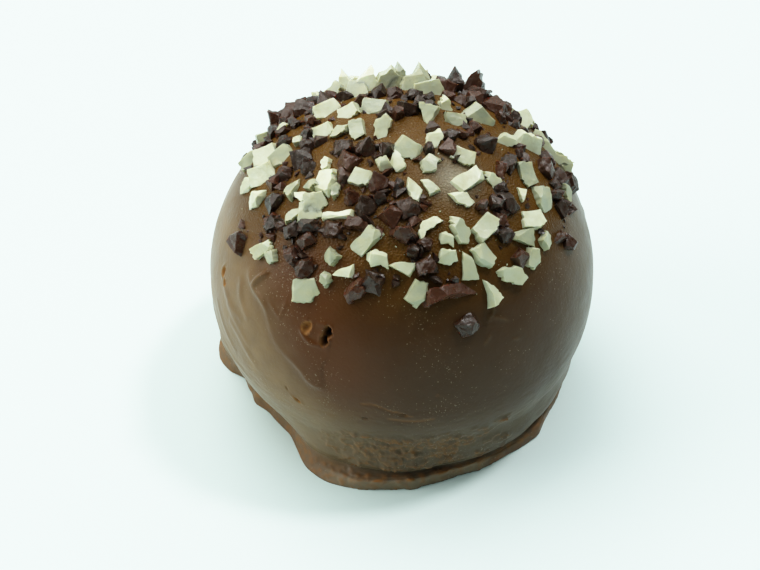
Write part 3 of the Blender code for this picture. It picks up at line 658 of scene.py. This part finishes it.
DARK_CHIPS = (
    ("stick", 4, -1.8, 12, 4.5, -25), ("block", 5.25, -4.6, 40, 2), ("block", -13.2, 2.2, 60, 1.9),
    ("block", 13.5, 2.3, 10, 1.6), ("block", 12.9, 5.1, 70, 1.7), ("bar", -10.6, 3.6, 20, 2.2),
    ("slab", -8.9, 3.2, 20, 1.8), ("slab", -7.9, 0.25, 5, 2), ("slab", -3.8, -1.7, 40, 2.3),
    ("block", -2.4, -1, -20, 1.9), ("slab", -10.4, 5.5, 35, 2), ("block", -7.6, 3.7, 10, 1.7),
    ("block", -7.7, 2.5, 30, 1.7), ("slab", -3, 5, 50, 2.2), ("slab", -4.1, 5.8, 60, 1.5),
    ("shard", 0.1, 2.9, 15, 2.3), ("block", 0.6, 5, 30, 2), ("block", -0.9, 4.4, 50, 1.9),
    ("slab", 1.9, 0.3, 30, 2), ("slab", 1.9, 2.1, -20, 1.4), ("slab", -1.9, 6.9, 60, 2),
    ("bar", -0.2, 6.8, 70, 1.2), ("slab", -5.8, 3.3, -5, 2.1), ("bar", -3.6, 3.6, -15, 2.3),
    ("block", -4.3, 8.8, -30, 1.9, 10), ("slab", -3, 9.8, 5, 2, 20), ("slab", -5, 9.9, 0, 2.2, 20),
    ("block", -8.2, 9.1, 10, 2.1, 15), ("block", -9.45, 7.85, 0, 1.4), ("block", -10.4, 7.05, 20, 1.2),
    ("slab", 8.7, 8.6, 60, 2.1, 15), ("slab", 8.6, 5.4, -50, 2.2), ("block", 8, 6.7, 30, 1.3),
    ("shard", 6.5, 5.2, 50, 1.4), ("block", 7.6, 5.4, 10, 1.4), ("slab", 6.7, 10.2, -20, 2.1, 25),
    ("block", 5.8, 11.5, 20, 1.1, 25), ("block", 4.9, 11.1, 0, 1, 25), ("block", 11.6, 8.2, 10, 1.8, 25),
    ("block", 3.2, 14.6, 80, 2.4, 65), ("wedge", 4.2, 14.7, -80, 3.3, 75), ("shard", 6.1, 14, 75, 2.8, 70),
    ("wedge", 5.4, 14.5, -100, 3.8, 75), ("block", 7.4, 13.1, 55, 2.2, 65),
    ("block", -0.6, 14.2, 10, 1.4, 50), ("slab", 1, 14.1, 0, 1.6, 50), ("block", 2.1, 14, 30, 1.3, 50),
    ("block", 0.6, 12.9, 0, 1.8, 45), ("block", -4.7, 14, 20, 1.3, 50), ("block", -5.8, 14, -10, 1.2, 50),
    ("block", -9.1, 12.5, 75, 2.3, 70), ("block", -8, 12.9, 60, 2.1, 65), ("wedge", -10.1, 11.8, -95, 3, 75),
    ("slab", -9.6, 10.4, -20, 1.7, 35), ("slab", -7.7, 10.9, 40, 1.6, 35),
    ("block", -12.5, 9.1, 30, 0.9, 50), ("block", -11.8, 10.3, 0, 0.8, 50), ("block", 9.9, 12.7, 0, 0.9, 60),
    ("block", 10.6, 11.5, 0, 0.8, 50),
)

# Places where the coat shows bare between the chips: mm right and up as seen, and radius (mm)
BARE_PLACES = (
    (0.4, 11.5, 1.5), (3.5, 7.3, 1.5), (5.4, 4.8, 0.9), (-6.4, 1.8, 1.2), (7.2, 8.9, 0.9), (-6.7, 9.6, 0.9),
    (-0.5, 1.6, 0.9), (8.6, 1.4, 1.1), (11.6, 7.4, 1.1), (-2, -3.4, 1), (12.3, 3.9, 1), (2.9, 5.2, 0.9),
    (-11.9, 3.9, 0.9), (-3.9, 0.9, 0.8), (-10.1, 0.2, 0.9), (3.3, 11.4, 0.7), (12.6, 0.5, 1.6),
    (-12.8, 0, 1.8),
)

# Chips strewn over the rest of the cap: tries, lengths (mm), outlines and least spacing. The
# cap reaches down to a mean fall, further on the +X side, with a wavy edge (degrees)
CHIP_SEED = 41
CHIP_THICKNESS = {"white": (0.38, 0.66), "dark": (0.55, 0.95)}
CHIP_LEAN = {"white": 13, "dark": 22}
CAP_EDGE = 55
CAP_SLANT = 3.5
CAP_EDGE_WAVE = 2
GOLDEN_ANGLE = 137.508
STREW_WANDER = 2.4
FAR_SHARE = 0.24
Strewing = namedtuple("Strewing", "kind tries shortest longest outlines spacing")
WHITE_STREWING = Strewing("white", 150, 1.5, 2.7, ("bar", "slab", "wedge", "leaf", "block", "shard"), 0.80)
DARK_STREWING = Strewing("dark", 480, 1.15, 1.9, ("block", "slab", "shard", "wedge"), 0.64)
Chip = namedtuple("Chip", "kind outline bearing fall turn length thickness stand roll pitch")


def outward(bearing, fall):
    return Vector(direction(bearing, fall))


def seen_place(right, up):
    """Bearing and fall of the coat that shows so many mm right and up of the ball's middle, and
    its distance from the eye as a share of the middle's."""
    eye = NEAR_SIDE * EYE_DISTANCE
    ray = (Vector((right * MM, 0, 0)) + HIGH_SIDE * (up * MM) - eye).normalized()
    nearest = -eye.dot(ray)
    miss = (eye + ray * nearest).length
    away = nearest - math.sqrt(max((BALL_RADIUS + FACE_REACH) ** 2 - miss ** 2, 0))
    point = eye + ray * away
    fall = math.degrees(math.acos(point.z / point.length))
    return math.degrees(math.atan2(point.x, -point.y)), fall, away / EYE_DISTANCE


def gap_between(first, second):
    """How far apart two places lie on the coat, in mm."""
    cosine = outward(*first).dot(outward(*second))
    return math.acos(min(max(cosine, -1), 1)) * BALL_RADIUS / MM


def is_free(chips, bearing, fall, length, strewing):
    """Whether a chip may lie here: on the cap, off the bare places, and clear of the others."""
    slant = CAP_SLANT * math.sin(math.radians(bearing + 20))
    if fall > CAP_EDGE + slant + CAP_EDGE_WAVE * math.sin(math.radians(3 * bearing + 200)):
        return False
    here = (bearing, fall)
    if any(gap_between(here, seen_place(right, up)[:2]) < radius for right, up, radius in BARE_PLACES):
        return False
    if strewing.kind == "white" and outward(*here).dot(NEAR_SIDE) >= FAR_SHARE:
        return False
    return all(
        gap_between(here, (chip.bearing, chip.fall)) >= strewing.spacing * 0.5 * (length + chip.length)
        for chip in chips
    )


def new_chip(draw, kind, outline, bearing, fall, turn, length, stand=0):
    lean = CHIP_LEAN[kind]
    thickness = draw.uniform(*CHIP_THICKNESS[kind])
    roll = draw.uniform(-lean, lean)
    pitch = draw.uniform(-lean, lean)
    return Chip(kind, outline, bearing, fall, turn, length, thickness, stand, roll, pitch)


def seen_chip(draw, kind, outline, right, up, turn, length, stand=0):
    """A chip that shows at a point. The nearer it lies, the smaller it is than it seems."""
    bearing, fall, nearness = seen_place(right, up)
    return new_chip(draw, kind, outline, bearing, fall, turn, length * nearness, stand)


def strew(draw, chips, strewing):
    """Chips along a golden-angle spiral from the top down to the cap's wavy edge."""
    span = 1 - math.cos(math.radians(CAP_EDGE + CAP_SLANT + CAP_EDGE_WAVE))
    for count in range(strewing.tries):
        share = (count + 0.5) / strewing.tries
        fall = math.degrees(math.acos(1 - share * span)) + draw.uniform(-STREW_WANDER, STREW_WANDER)
        bearing = (count * GOLDEN_ANGLE) % 360 - 180 + draw.uniform(-STREW_WANDER, STREW_WANDER)
        outline = draw.choice(strewing.outlines)
        turn = draw.uniform(-90, 90)
        length = draw.uniform(strewing.shortest, strewing.longest)
        if is_free(chips, bearing, fall, length, strewing):
            chips.append(new_chip(draw, strewing.kind, outline, bearing, fall, turn, length))


draw = random.Random(CHIP_SEED)
chips = [seen_chip(draw, "white", *row) for row in WHITE_CHIPS]
chips += [seen_chip(draw, "dark", *row) for row in DARK_CHIPS]
strew(draw, chips, WHITE_STREWING)
strew(draw, chips, DARK_STREWING)

# Kinds of broken chip: each outline in a few versions, 1 long. A version's corners wander, its
# sides are ragged, and its top is broken off along a few planes
VERSIONS = 5
KIND_SEED = 77
CORNER_WANDER = 0.045
TOP_SHARE = 0.86
KIND_HEIGHT = {"white": 0.24, "dark": 0.46}
TOP_TILT = {"white": 18, "dark": 28}
BREAKS = {"white": 3, "dark": 5}
BREAK_TILT = {"white": (28, 62), "dark": (25, 65)}
BREAK_REACH = {"white": (0.55, 0.85), "dark": (0.25, 0.75)}
RAGGED_SIDES = 0.70
RAGGED_DEPTH = {"white": 0.038, "dark": 0.045}
UNEVEN = {"white": ((4, 0.018), (15, 0.008)), "dark": ((4, 0.045), (13, 0.020))}
BEND = {"white": 0.35, "dark": 0.10}
SHARP_EDGE = 24
noise.seed_set(KIND_SEED)


def ragged(corners, draw, depth):
    """An outline with some of its sides broken unevenly between their corners."""
    points = []
    for start, end in zip(corners, corners[1:] + corners[:1]):
        points.append(start)
        side = end - start
        if draw.random() < RAGGED_SIDES and side.length > 0.3:
            for share in (0.22, 0.42, 0.60, 0.80):
                off = Vector((side.y, -side.x)).normalized() * draw.uniform(-depth, depth)
                points.append(start + side * (share + draw.uniform(-0.06, 0.06)) + off)
    return points


def cut_off(mesh, point, normal):
    """A solid broken off along a plane and closed there, or left whole where it wouldn't close."""
    whole = mesh.copy()
    result = bmesh.ops.bisect_plane(
        mesh, geom=[*mesh.verts, *mesh.edges, *mesh.faces], dist=1e-5, plane_co=point, plane_no=normal,
        clear_outer=True,
    )
    rim = [item for item in result["geom_cut"] if isinstance(item, bmesh.types.BMEdge)]
    if rim:
        bmesh.ops.triangle_fill(mesh, use_beauty=True, edges=rim, normal=normal)
    closed = all(edge.is_manifold for edge in mesh.edges)
    kept, spare = (mesh, whole) if closed else (whole, mesh)
    spare.free()
    return kept


def chip_kind(kind, outline, version):
    """One broken chip, 1 long, whose middle plane lies at the coat."""
    draw = random.Random(f"{KIND_SEED} {kind} {outline} {version}")
    mesh = bmesh.new()
    half = KIND_HEIGHT[kind]
    wander = [Vector((draw.uniform(-1, 1), draw.uniform(-1, 1))) * CORNER_WANDER for _ in OUTLINES[outline]]
    corners = [Vector(corner) + shift for corner, shift in zip(OUTLINES[outline], wander)]
    corners = ragged(corners, draw, RAGGED_DEPTH[kind])
    low = [mesh.verts.new((x, y, -half)) for x, y in corners]
    high = [mesh.verts.new((x * TOP_SHARE, y * TOP_SHARE, half)) for x, y in corners]
    mesh.faces.new(list(reversed(low)))
    mesh.faces.new(high)
    for index in range(len(corners)):
        after = (index + 1) % len(corners)
        mesh.faces.new((low[index], low[after], high[after], high[index]))
    tilt = math.radians(draw.uniform(0.3, 1) * TOP_TILT[kind])
    facing = draw.uniform(0, math.tau)
    slope = Vector((math.sin(tilt) * math.cos(facing), math.sin(tilt) * math.sin(facing), math.cos(tilt)))
    mesh = cut_off(mesh, Vector((0, 0, 0.82 * half)), slope)
    for count in range(1 if outline == "stick" else BREAKS[kind]):
        facing = draw.uniform(0, math.tau)
        tilt = math.radians(draw.uniform(*BREAK_TILT[kind]))
        flat = Vector((math.cos(facing), math.sin(facing), 0))
        rim = max(flat.x * x + flat.y * y for x, y in corners)
        point = flat * rim * draw.uniform(*BREAK_REACH[kind]) + Vector((0, 0, 0.7 * half))
        mesh = cut_off(mesh, point, flat * math.sin(tilt) + Vector((0, 0, math.cos(tilt))))
    bmesh.ops.recalc_face_normals(mesh, faces=mesh.faces)
    bmesh.ops.triangulate(mesh, faces=mesh.faces)
    for least in (0.20, 0.13):
        long_edges = [edge for edge in mesh.edges if edge.calc_length() > least]
        bmesh.ops.subdivide_edges(mesh, edges=long_edges, cuts=1)
        bmesh.ops.triangulate(mesh, faces=mesh.faces)
    shift = Vector((draw.uniform(0, 50), draw.uniform(0, 50), draw.uniform(0, 50)))
    bend = draw.uniform(-1, 1) * BEND[kind]
    for vert in mesh.verts:
        start = vert.co.copy()
        vert.co.z += bend * start.x ** 2
        for pitch, amount in UNEVEN[kind]:
            vert.co += noise.noise_vector(start * pitch + shift) * amount
    data = bpy.data.meshes.new(f"{kind}_{outline}_{version}")
    mesh.to_mesh(data)
    mesh.free()
    data.shade_smooth()
    data.set_sharp_from_angle(angle=math.radians(SHARP_EDGE))
    return bpy.data.objects.new(data.name, data)


def chip_frame(chip):
    """How a chip lies on the coat: its length along X and its thickness along Z."""
    normal = outward(chip.bearing, chip.fall)
    across = Vector((1, 0, 0))
    across = (across - normal * across.dot(normal)).normalized()
    basis = Matrix((across, normal.cross(across), normal)).transposed().to_4x4()
    foot = normal * float(coat_radius(chip.bearing, chip.fall))
    place = Matrix.Translation(foot + Vector((0, 0, BALL_HEIGHT))) @ basis
    for angle, axis in ((chip.stand, "X"), (chip.turn, "Z"), (chip.roll, "X"), (chip.pitch, "Y")):
        place = place @ Matrix.Rotation(math.radians(angle), 4, axis)
    return place


def new_tree(name, sockets=()):
    """A Geometry Nodes tree with named inputs, and the sockets that they come from."""
    tree = bpy.data.node_groups.new(name, "GeometryNodeTree")
    own_sockets = (("Geometry", "Geometry"), ("Kinds", "Collection"), ("Chocolate", "Material"))
    for socket, kind in (*own_sockets, *sockets):
        tree.interface.new_socket(socket, in_out="INPUT", socket_type=f"NodeSocket{kind}")
    tree.interface.new_socket("Geometry", in_out="OUTPUT", socket_type="NodeSocketGeometry")
    return tree, add_node(tree, "NodeGroupInput").outputs


def finish_tree(tree, given, planting):
    """The last steps of a tree: a kind on each point, made real and given its chocolate."""
    kinds = add_node(tree, "GeometryNodeCollectionInfo", {
        "Collection": given["Kinds"], "Separate Children": True, "Reset Children": True,
    })
    planted = add_node(tree, "GeometryNodeInstanceOnPoints", {
        "Instance": kinds, "Pick Instance": True, **planting,
    })
    real = add_node(tree, "GeometryNodeRealizeInstances", {"Geometry": planted})
    painted = add_node(tree, "GeometryNodeSetMaterial", {"Geometry": real, "Material": given["Chocolate"]})
    add_node(tree, "NodeGroupOutput", {"Geometry": painted})
    return tree


def planting_tree():
    """Geometry Nodes: a chip of the right kind on each point, turned and sized as it says."""
    tree, given = new_tree("planted_chips")
    kind, turn, size = (
        add_node(tree, "GeometryNodeInputNamedAttribute", {"Name": name}, data_type=held)
        for name, held in (("kind", "INT"), ("turn", "FLOAT_VECTOR"), ("size", "FLOAT_VECTOR"))
    )
    rotation = add_node(tree, "FunctionNodeEulerToRotation", {"Euler": turn})
    return finish_tree(tree, given, {
        "Points": given["Geometry"], "Instance Index": kind, "Rotation": rotation, "Scale": size,
    })


def grown(name, base, tree, kinds, values):
    """A plain mesh piece grown from a base object by a tree, out of kinds of thing that are then
    removed."""
    collection = bpy.data.collections.new(f"{name}_kinds")
    for thing in kinds:
        collection.objects.link(thing)
    values = {"Kinds": collection, **values}
    modifier = base.modifiers.new(tree.name, "NODES")
    modifier.node_group = tree
    for item in tree.interface.items_tree:
        if item.in_out == "INPUT" and item.name in values:
            modifier[item.identifier] = values[item.name]
    bpy.context.view_layer.update()
    data = bpy.data.meshes.new_from_object(base.evaluated_get(bpy.context.evaluated_depsgraph_get()))
    base.modifiers.remove(modifier)
    for thing in kinds:
        bpy.data.objects.remove(thing)
    bpy.data.collections.remove(collection)
    data.name = name
    return placed(name, data)


def chips_piece(kind, tree, material):
    """All chips of one chocolate as one mesh, grown on a point for each, which holds the number
    of the chip's kind, its turn, its size and its tint."""
    draw = random.Random(f"{KIND_SEED} {kind}")
    own = [chip for chip in chips if chip.kind == kind]
    frames = [chip_frame(chip) for chip in own]
    points = new_piece(f"{kind}_points", [frame_here.translation for frame_here in frames], [])
    numbers = [sorted(OUTLINES).index(chip.outline) * VERSIONS + draw.randrange(VERSIONS) for chip in own]
    sizes = [(chip.length * MM, chip.length * MM, chip.thickness / KIND_HEIGHT[kind] * MM) for chip in own]
    add_values(points, "kind", numbers, "INT")
    add_values(points, "tint", [draw.random() for chip in own])
    add_values(points, "turn", [tuple(frame_here.to_euler()) for frame_here in frames], "FLOAT_VECTOR")
    add_values(points, "size", sizes, "FLOAT_VECTOR")
    kinds = [chip_kind(kind, outline, version) for outline in sorted(OUTLINES) for version in range(VERSIONS)]
    piece = grown(f"{kind}_chips", points, tree, kinds, {"Chocolate": material})
    bpy.data.objects.remove(points)
    return piece


def white_chocolate():
    """Broken white chocolate: waxy ivory that lets light in, some flakes greyer than others,
    with faint clouds in it and a fine-grained break."""
    material, tree, place = new_material("white_chocolate")
    tint = add_node(tree, "ShaderNodeAttribute", attribute_name="tint").outputs["Fac"]
    greyer = add_node(tree, "ShaderNodeMapRange", {"Value": tint, "From Min": 0.1})
    clouds = add_node(tree, "ShaderNodeTexNoise", {"Vector": place, "Scale": 1 / (0.8 * MM), "Detail": 3})
    cloudy = add_node(tree, "ShaderNodeMapRange", {
        "Value": clouds, "From Min": 0.40, "From Max": 0.70, "To Min": 0, "To Max": 0.6,
    })
    grain = add_node(tree, "ShaderNodeTexNoise", {"Vector": place, "Scale": 1 / (0.22 * MM), "Detail": 4})
    bump = add_node(tree, "ShaderNodeBump", {"Strength": 1, "Distance": 0.035 * MM, "Height": grain})
    shader = add_node(tree, "ShaderNodeBsdfPrincipled", {
        "Base Color": layered(tree, linear("D9DCBE"), ((greyer, "8F937C"), (cloudy, "B9B58E"))),
        "Roughness": 0.27, "IOR": 1.46,
        "Subsurface Weight": 0.55, "Subsurface Radius": (1, 0.88, 0.60), "Subsurface Scale": 0.35 * MM,
        "Normal": bump,
    })
    add_node(tree, "ShaderNodeOutputMaterial", {"Surface": shader})
    return material


def dark_chocolate():
    """Broken dark chocolate: near black with glossy breaks, reddish brown on some splinters,
    with pale dust that rubbed off the white."""
    material, tree, place = new_material("dark_chocolate")
    tint = add_node(tree, "ShaderNodeAttribute", attribute_name="tint").outputs["Fac"]
    reddish = add_node(tree, "ShaderNodeMapRange", {"Value": tint, "From Min": 0.4})
    dust = add_node(tree, "ShaderNodeTexNoise", {"Vector": place, "Scale": 1 / (0.16 * MM), "Detail": 2})
    dusty = add_node(tree, "ShaderNodeMapRange", {
        "Value": dust, "From Min": 0.66, "From Max": 0.74, "To Min": 0, "To Max": 0.35,
    })
    breaks = add_node(tree, "ShaderNodeTexNoise", {"Vector": place, "Scale": 1 / (0.45 * MM), "Detail": 5})
    bump = add_node(tree, "ShaderNodeBump", {"Strength": 1, "Distance": 0.10 * MM, "Height": breaks})
    gloss = add_node(tree, "ShaderNodeMapRange", {
        "Value": breaks, "From Min": 0.35, "From Max": 0.65, "To Min": 0.24, "To Max": 0.46,
    })
    shader = add_node(tree, "ShaderNodeBsdfPrincipled", {
        "Base Color": layered(tree, linear("302016"), ((reddish, "472919"), (dusty, "8A7460"))),
        "Roughness": gloss, "IOR": 1.50, "Specular IOR Level": 0.40,
        "Subsurface Weight": 0.20, "Subsurface Radius": (1, 0.35, 0.18), "Subsurface Scale": 0.5 * MM,
        "Normal": bump,
    })
    add_node(tree, "ShaderNodeOutputMaterial", {"Surface": shader})
    return material


planting = planting_tree()
broken_white = white_chocolate()
broken_dark = dark_chocolate()
white_chips = chips_piece("white", planting, broken_white)
dark_chips = chips_piece("dark", planting, broken_dark)
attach(white_chips, "root")
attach(dark_chips, "root")

# The grit between the chips
# What crumbled off the slabs when they were broken: dark grains that stick to the coat round
# the dark chips, and white crumbs and dust, most of them round the white chips.

GRIT_SEED = 12
GRAINS = 6
GRAIN_CORNERS = 13
GRAIN_BOX = {"dark": (1, 0.75, 0.75), "white": (1, 0.70, 0.50)}
GRAIN_LEAN = 0.7
MOSTLY_SMALL = 2.2
GROUND_END = 116
ground_rings = int(np.searchsorted(falls, GROUND_END))
ground_count = 1 + ground_rings * COLUMNS
ground_points = coat_points[:ground_count]
ground = new_piece("ground", ground_points, [face for face in coat_faces() if max(face) < ground_count])


def round_chips(kind, reach):
    """How near each point of the ground is to a chip of one chocolate, from 0 to 1."""
    nearness = np.zeros(ground_count)
    for chip in chips:
        if chip.kind == kind:
            middle = np.array(chip_frame(chip).translation)
            away = np.linalg.norm(ground_points - middle, axis=1) / MM
            nearness = np.maximum(nearness, bell(away, reach + 0.3 * chip.length))
    return nearness


bare = np.zeros(ground_count)
for right, up, radius in BARE_PLACES:
    bearing, fall, nearness = seen_place(right, up)
    away = around(bearing, fall)[2][:ground_count]
    bare = np.maximum(bare, 1 - smooth_step(away, 0.8 * radius, 1.3 * radius))
high_up = 1 - smooth_step(point_fall[:ground_count], 50, 62)
off_white = 1 - smooth_step(round_chips("white", 0), 0.05, 0.30)
clumps = smooth_step(waves(ground_points, 2.2, 2.2, 2.2, 2, 21), -0.35, 0.35)
near_dark = round_chips("dark", 1)
add_values(ground, "dark_grit", near_dark * high_up * off_white * (1 - bare) * (0.4 + 0.6 * clumps))
add_values(ground, "white_grit", 0.10 * round_chips("white", 0.5))


def grain_kind(kind, version):
    """A broken grain: the hull of a few corners."""
    draw = random.Random(f"{GRIT_SEED} {kind} {version}")
    mesh = bmesh.new()
    for _ in range(GRAIN_CORNERS):
        mesh.verts.new([size * draw.uniform(-0.5, 0.5) for size in GRAIN_BOX[kind]])
    hull = bmesh.ops.convex_hull(mesh, input=mesh.verts)
    bmesh.ops.delete(mesh, geom=list({*hull["geom_interior"], *hull["geom_unused"]}), context="VERTS")
    data = bpy.data.meshes.new(f"{kind}_grain_{version}")
    mesh.to_mesh(data)
    mesh.free()
    return bpy.data.objects.new(data.name, data)


def grit_tree():
    """Geometry Nodes: grains of mixed sizes on a ground, where a named share lets them lie."""
    tree, given = new_tree("strewn_grit", (
        ("Share", "String"), ("Spacing", "Float"), ("Most", "Float"), ("Smallest", "Float"),
        ("Largest", "Float"),
    ))
    share = add_node(tree, "GeometryNodeInputNamedAttribute", {"Name": given["Share"]}, data_type="FLOAT")
    strewn = add_node(tree, "GeometryNodeDistributePointsOnFaces", {
        "Mesh": given["Geometry"], "Distance Min": given["Spacing"], "Density Max": given["Most"],
        "Density Factor": share, "Seed": GRIT_SEED,
    }, distribute_method="POISSON")
    lean = add_node(tree, "FunctionNodeRandomValue", {
        0: (-GRAIN_LEAN, -GRAIN_LEAN, -math.pi), 1: (GRAIN_LEAN, GRAIN_LEAN, math.pi), "Seed": 1,
    }, data_type="FLOAT_VECTOR")
    leaning = add_node(tree, "FunctionNodeEulerToRotation", {"Euler": lean})
    turned = add_node(tree, "FunctionNodeRotateRotation", {
        "Rotation": strewn.outputs["Rotation"], "Rotate By": leaning,
    }, rotation_space="LOCAL")
    size = add_node(tree, "FunctionNodeRandomValue", {2: 0, 3: 1, "Seed": 2}, data_type="FLOAT")
    small_first = add_node(tree, "ShaderNodeMath", {0: size, 1: MOSTLY_SMALL}, operation="POWER")
    scale = add_node(tree, "ShaderNodeMapRange", {
        "Value": small_first, "To Min": given["Smallest"], "To Max": given["Largest"],
    })
    tint = add_node(tree, "FunctionNodeRandomValue", {2: 0, 3: 1, "Seed": 3}, data_type="FLOAT")
    tinted = add_node(tree, "GeometryNodeStoreNamedAttribute", {
        "Geometry": strewn, "Name": "tint", "Value": tint,
    }, data_type="FLOAT", domain="POINT")
    return finish_tree(tree, given, {"Points": tinted, "Rotation": turned, "Scale": scale})


def grit_piece(kind, tree, material, spacing, smallest, largest):
    """All grains of one chocolate as one mesh, with their spacing and sizes in mm."""
    return grown(f"{kind}_grit", ground, tree, [grain_kind(kind, version) for version in range(GRAINS)], {
        "Chocolate": material, "Share": f"{kind}_grit", "Spacing": spacing * MM,
        "Most": 2 / (spacing * MM) ** 2, "Smallest": smallest * MM, "Largest": largest * MM,
    })


strewn_grit = grit_tree()
dark_grit = grit_piece("dark", strewn_grit, broken_dark, 0.40, 0.30, 1.30)
white_grit = grit_piece("white", strewn_grit, broken_white, 0.22, 0.04, 0.24)
bpy.data.objects.remove(ground)
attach(dark_grit, "root")
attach(white_grit, "root")

# The floor, the lights and the camera
# A pale sheet under soft light: a broad ceiling above and behind, a small lamp high on the
# right, a window to the left, and little from the front, so that the coat's front stays dark.

FLOOR_SIZE = 1.6
floor = new_piece("floor", [
    (-FLOOR_SIZE, -FLOOR_SIZE, 0), (FLOOR_SIZE, -FLOOR_SIZE, 0),
    (FLOOR_SIZE, FLOOR_SIZE, 0), (-FLOOR_SIZE, FLOOR_SIZE, 0),
], [(0, 1, 2, 3)])


def pale_sheet():
    """Matt white sheet with a breath of blue-green."""
    material, tree, _ = new_material("pale_sheet")
    shader = add_node(tree, "ShaderNodeBsdfPrincipled", {
        "Base Color": linear("E2F6F4"), "Roughness": 0.7, "Specular IOR Level": 0.2,
    })
    add_node(tree, "ShaderNodeOutputMaterial", {"Surface": shader})
    return material


floor.data.materials.append(pale_sheet())

# Lamps: name, direction from the praline, distance and size (m), power (W) and colour
LAMPS = (
    ("ceiling", (-0.30, 0.40, 0.86), 0.60, 0.45, 2.9, "FCFFFA"),
    ("lamp", (0.41, 0.15, 0.90), 0.60, 0.08, 1.9, "FFFFFF"),
    ("window", (-0.90, -0.10, 0.42), 0.60, 0.36, 2.55, "FCFFFA"),
)
BRIGHT_WAY = (-0.10, 0.42, 0.90)
PRALINE_MIDDLE = Vector((0, 0, BALL_HEIGHT))
for name, way, distance, size, power, colour in LAMPS:
    light = bpy.data.lights.new(name, "AREA")
    light.size = size
    light.energy = power
    light.color = linear(colour)[:3]
    lamp = placed(name, light)
    lamp.location = PRALINE_MIDDLE + Vector(way).normalized() * distance
    lamp.rotation_euler = Vector(way).to_track_quat("Z", "Y").to_euler()


def dim_room():
    """The room around: pale overhead and behind, dim in front and towards the horizon."""
    world = bpy.data.worlds.new("room")
    world.use_nodes = True
    tree = world.node_tree
    tree.nodes.clear()
    way = add_node(tree, "ShaderNodeTexCoord").outputs["Generated"]
    facing = add_node(tree, "ShaderNodeVectorMath", {0: way, 1: BRIGHT_WAY}, operation="DOT_PRODUCT")
    brightness = add_node(tree, "ShaderNodeMapRange", {
        "Value": facing, "From Min": 0.30, "From Max": 0.95, "To Min": 0.04, "To Max": 1.5,
    })
    background = add_node(tree, "ShaderNodeBackground", {"Color": linear("F0FFFC"), "Strength": brightness})
    add_node(tree, "ShaderNodeOutputWorld", {"Surface": background})
    return world


bpy.context.scene.world = dim_room()

# The camera is the eye that the chips were placed for. Its lens and shift are the photograph's
# own framing, in its pixels
PHOTO_WIDTH = 760
FOCAL_PIXELS = 1708.3
SHIFT_PIXELS = (-22, -15)
camera = placed("camera", bpy.data.cameras.new("camera"))
camera.location = PRALINE_MIDDLE + NEAR_SIDE * EYE_DISTANCE
camera.rotation_euler = (0.5 * math.pi - EYE_ELEVATION, 0, 0)
camera.data.lens = FOCAL_PIXELS / PHOTO_WIDTH * camera.data.sensor_width
camera.data.shift_x = SHIFT_PIXELS[0] / PHOTO_WIDTH
camera.data.shift_y = SHIFT_PIXELS[1] / PHOTO_WIDTH
camera.data.clip_start = 1 * MM
bpy.context.scene.camera = camera

# The print's tones: a soft toe, and a shoulder that keeps the sheet just short of white
TONE_GAIN = 1.4
TONE_POWER = 1.2
TONE_WHITE = 4
view = bpy.context.scene.view_settings
view.view_transform = "Standard"
view.use_curve_mapping = True
view.curve_mapping.use_clip = True
view.curve_mapping.clip_max_x = TONE_WHITE
view.curve_mapping.clip_max_y = 1
tone = view.curve_mapping.curves[3]
tone.points[-1].location = (TONE_WHITE, 1 - math.exp(-TONE_GAIN * TONE_WHITE ** TONE_POWER))
for step in range(1, 16):
    light_in = TONE_WHITE * (step / 16) ** 2.5
    tone.points.new(light_in, 1 - math.exp(-TONE_GAIN * light_in ** TONE_POWER))
view.curve_mapping.update()
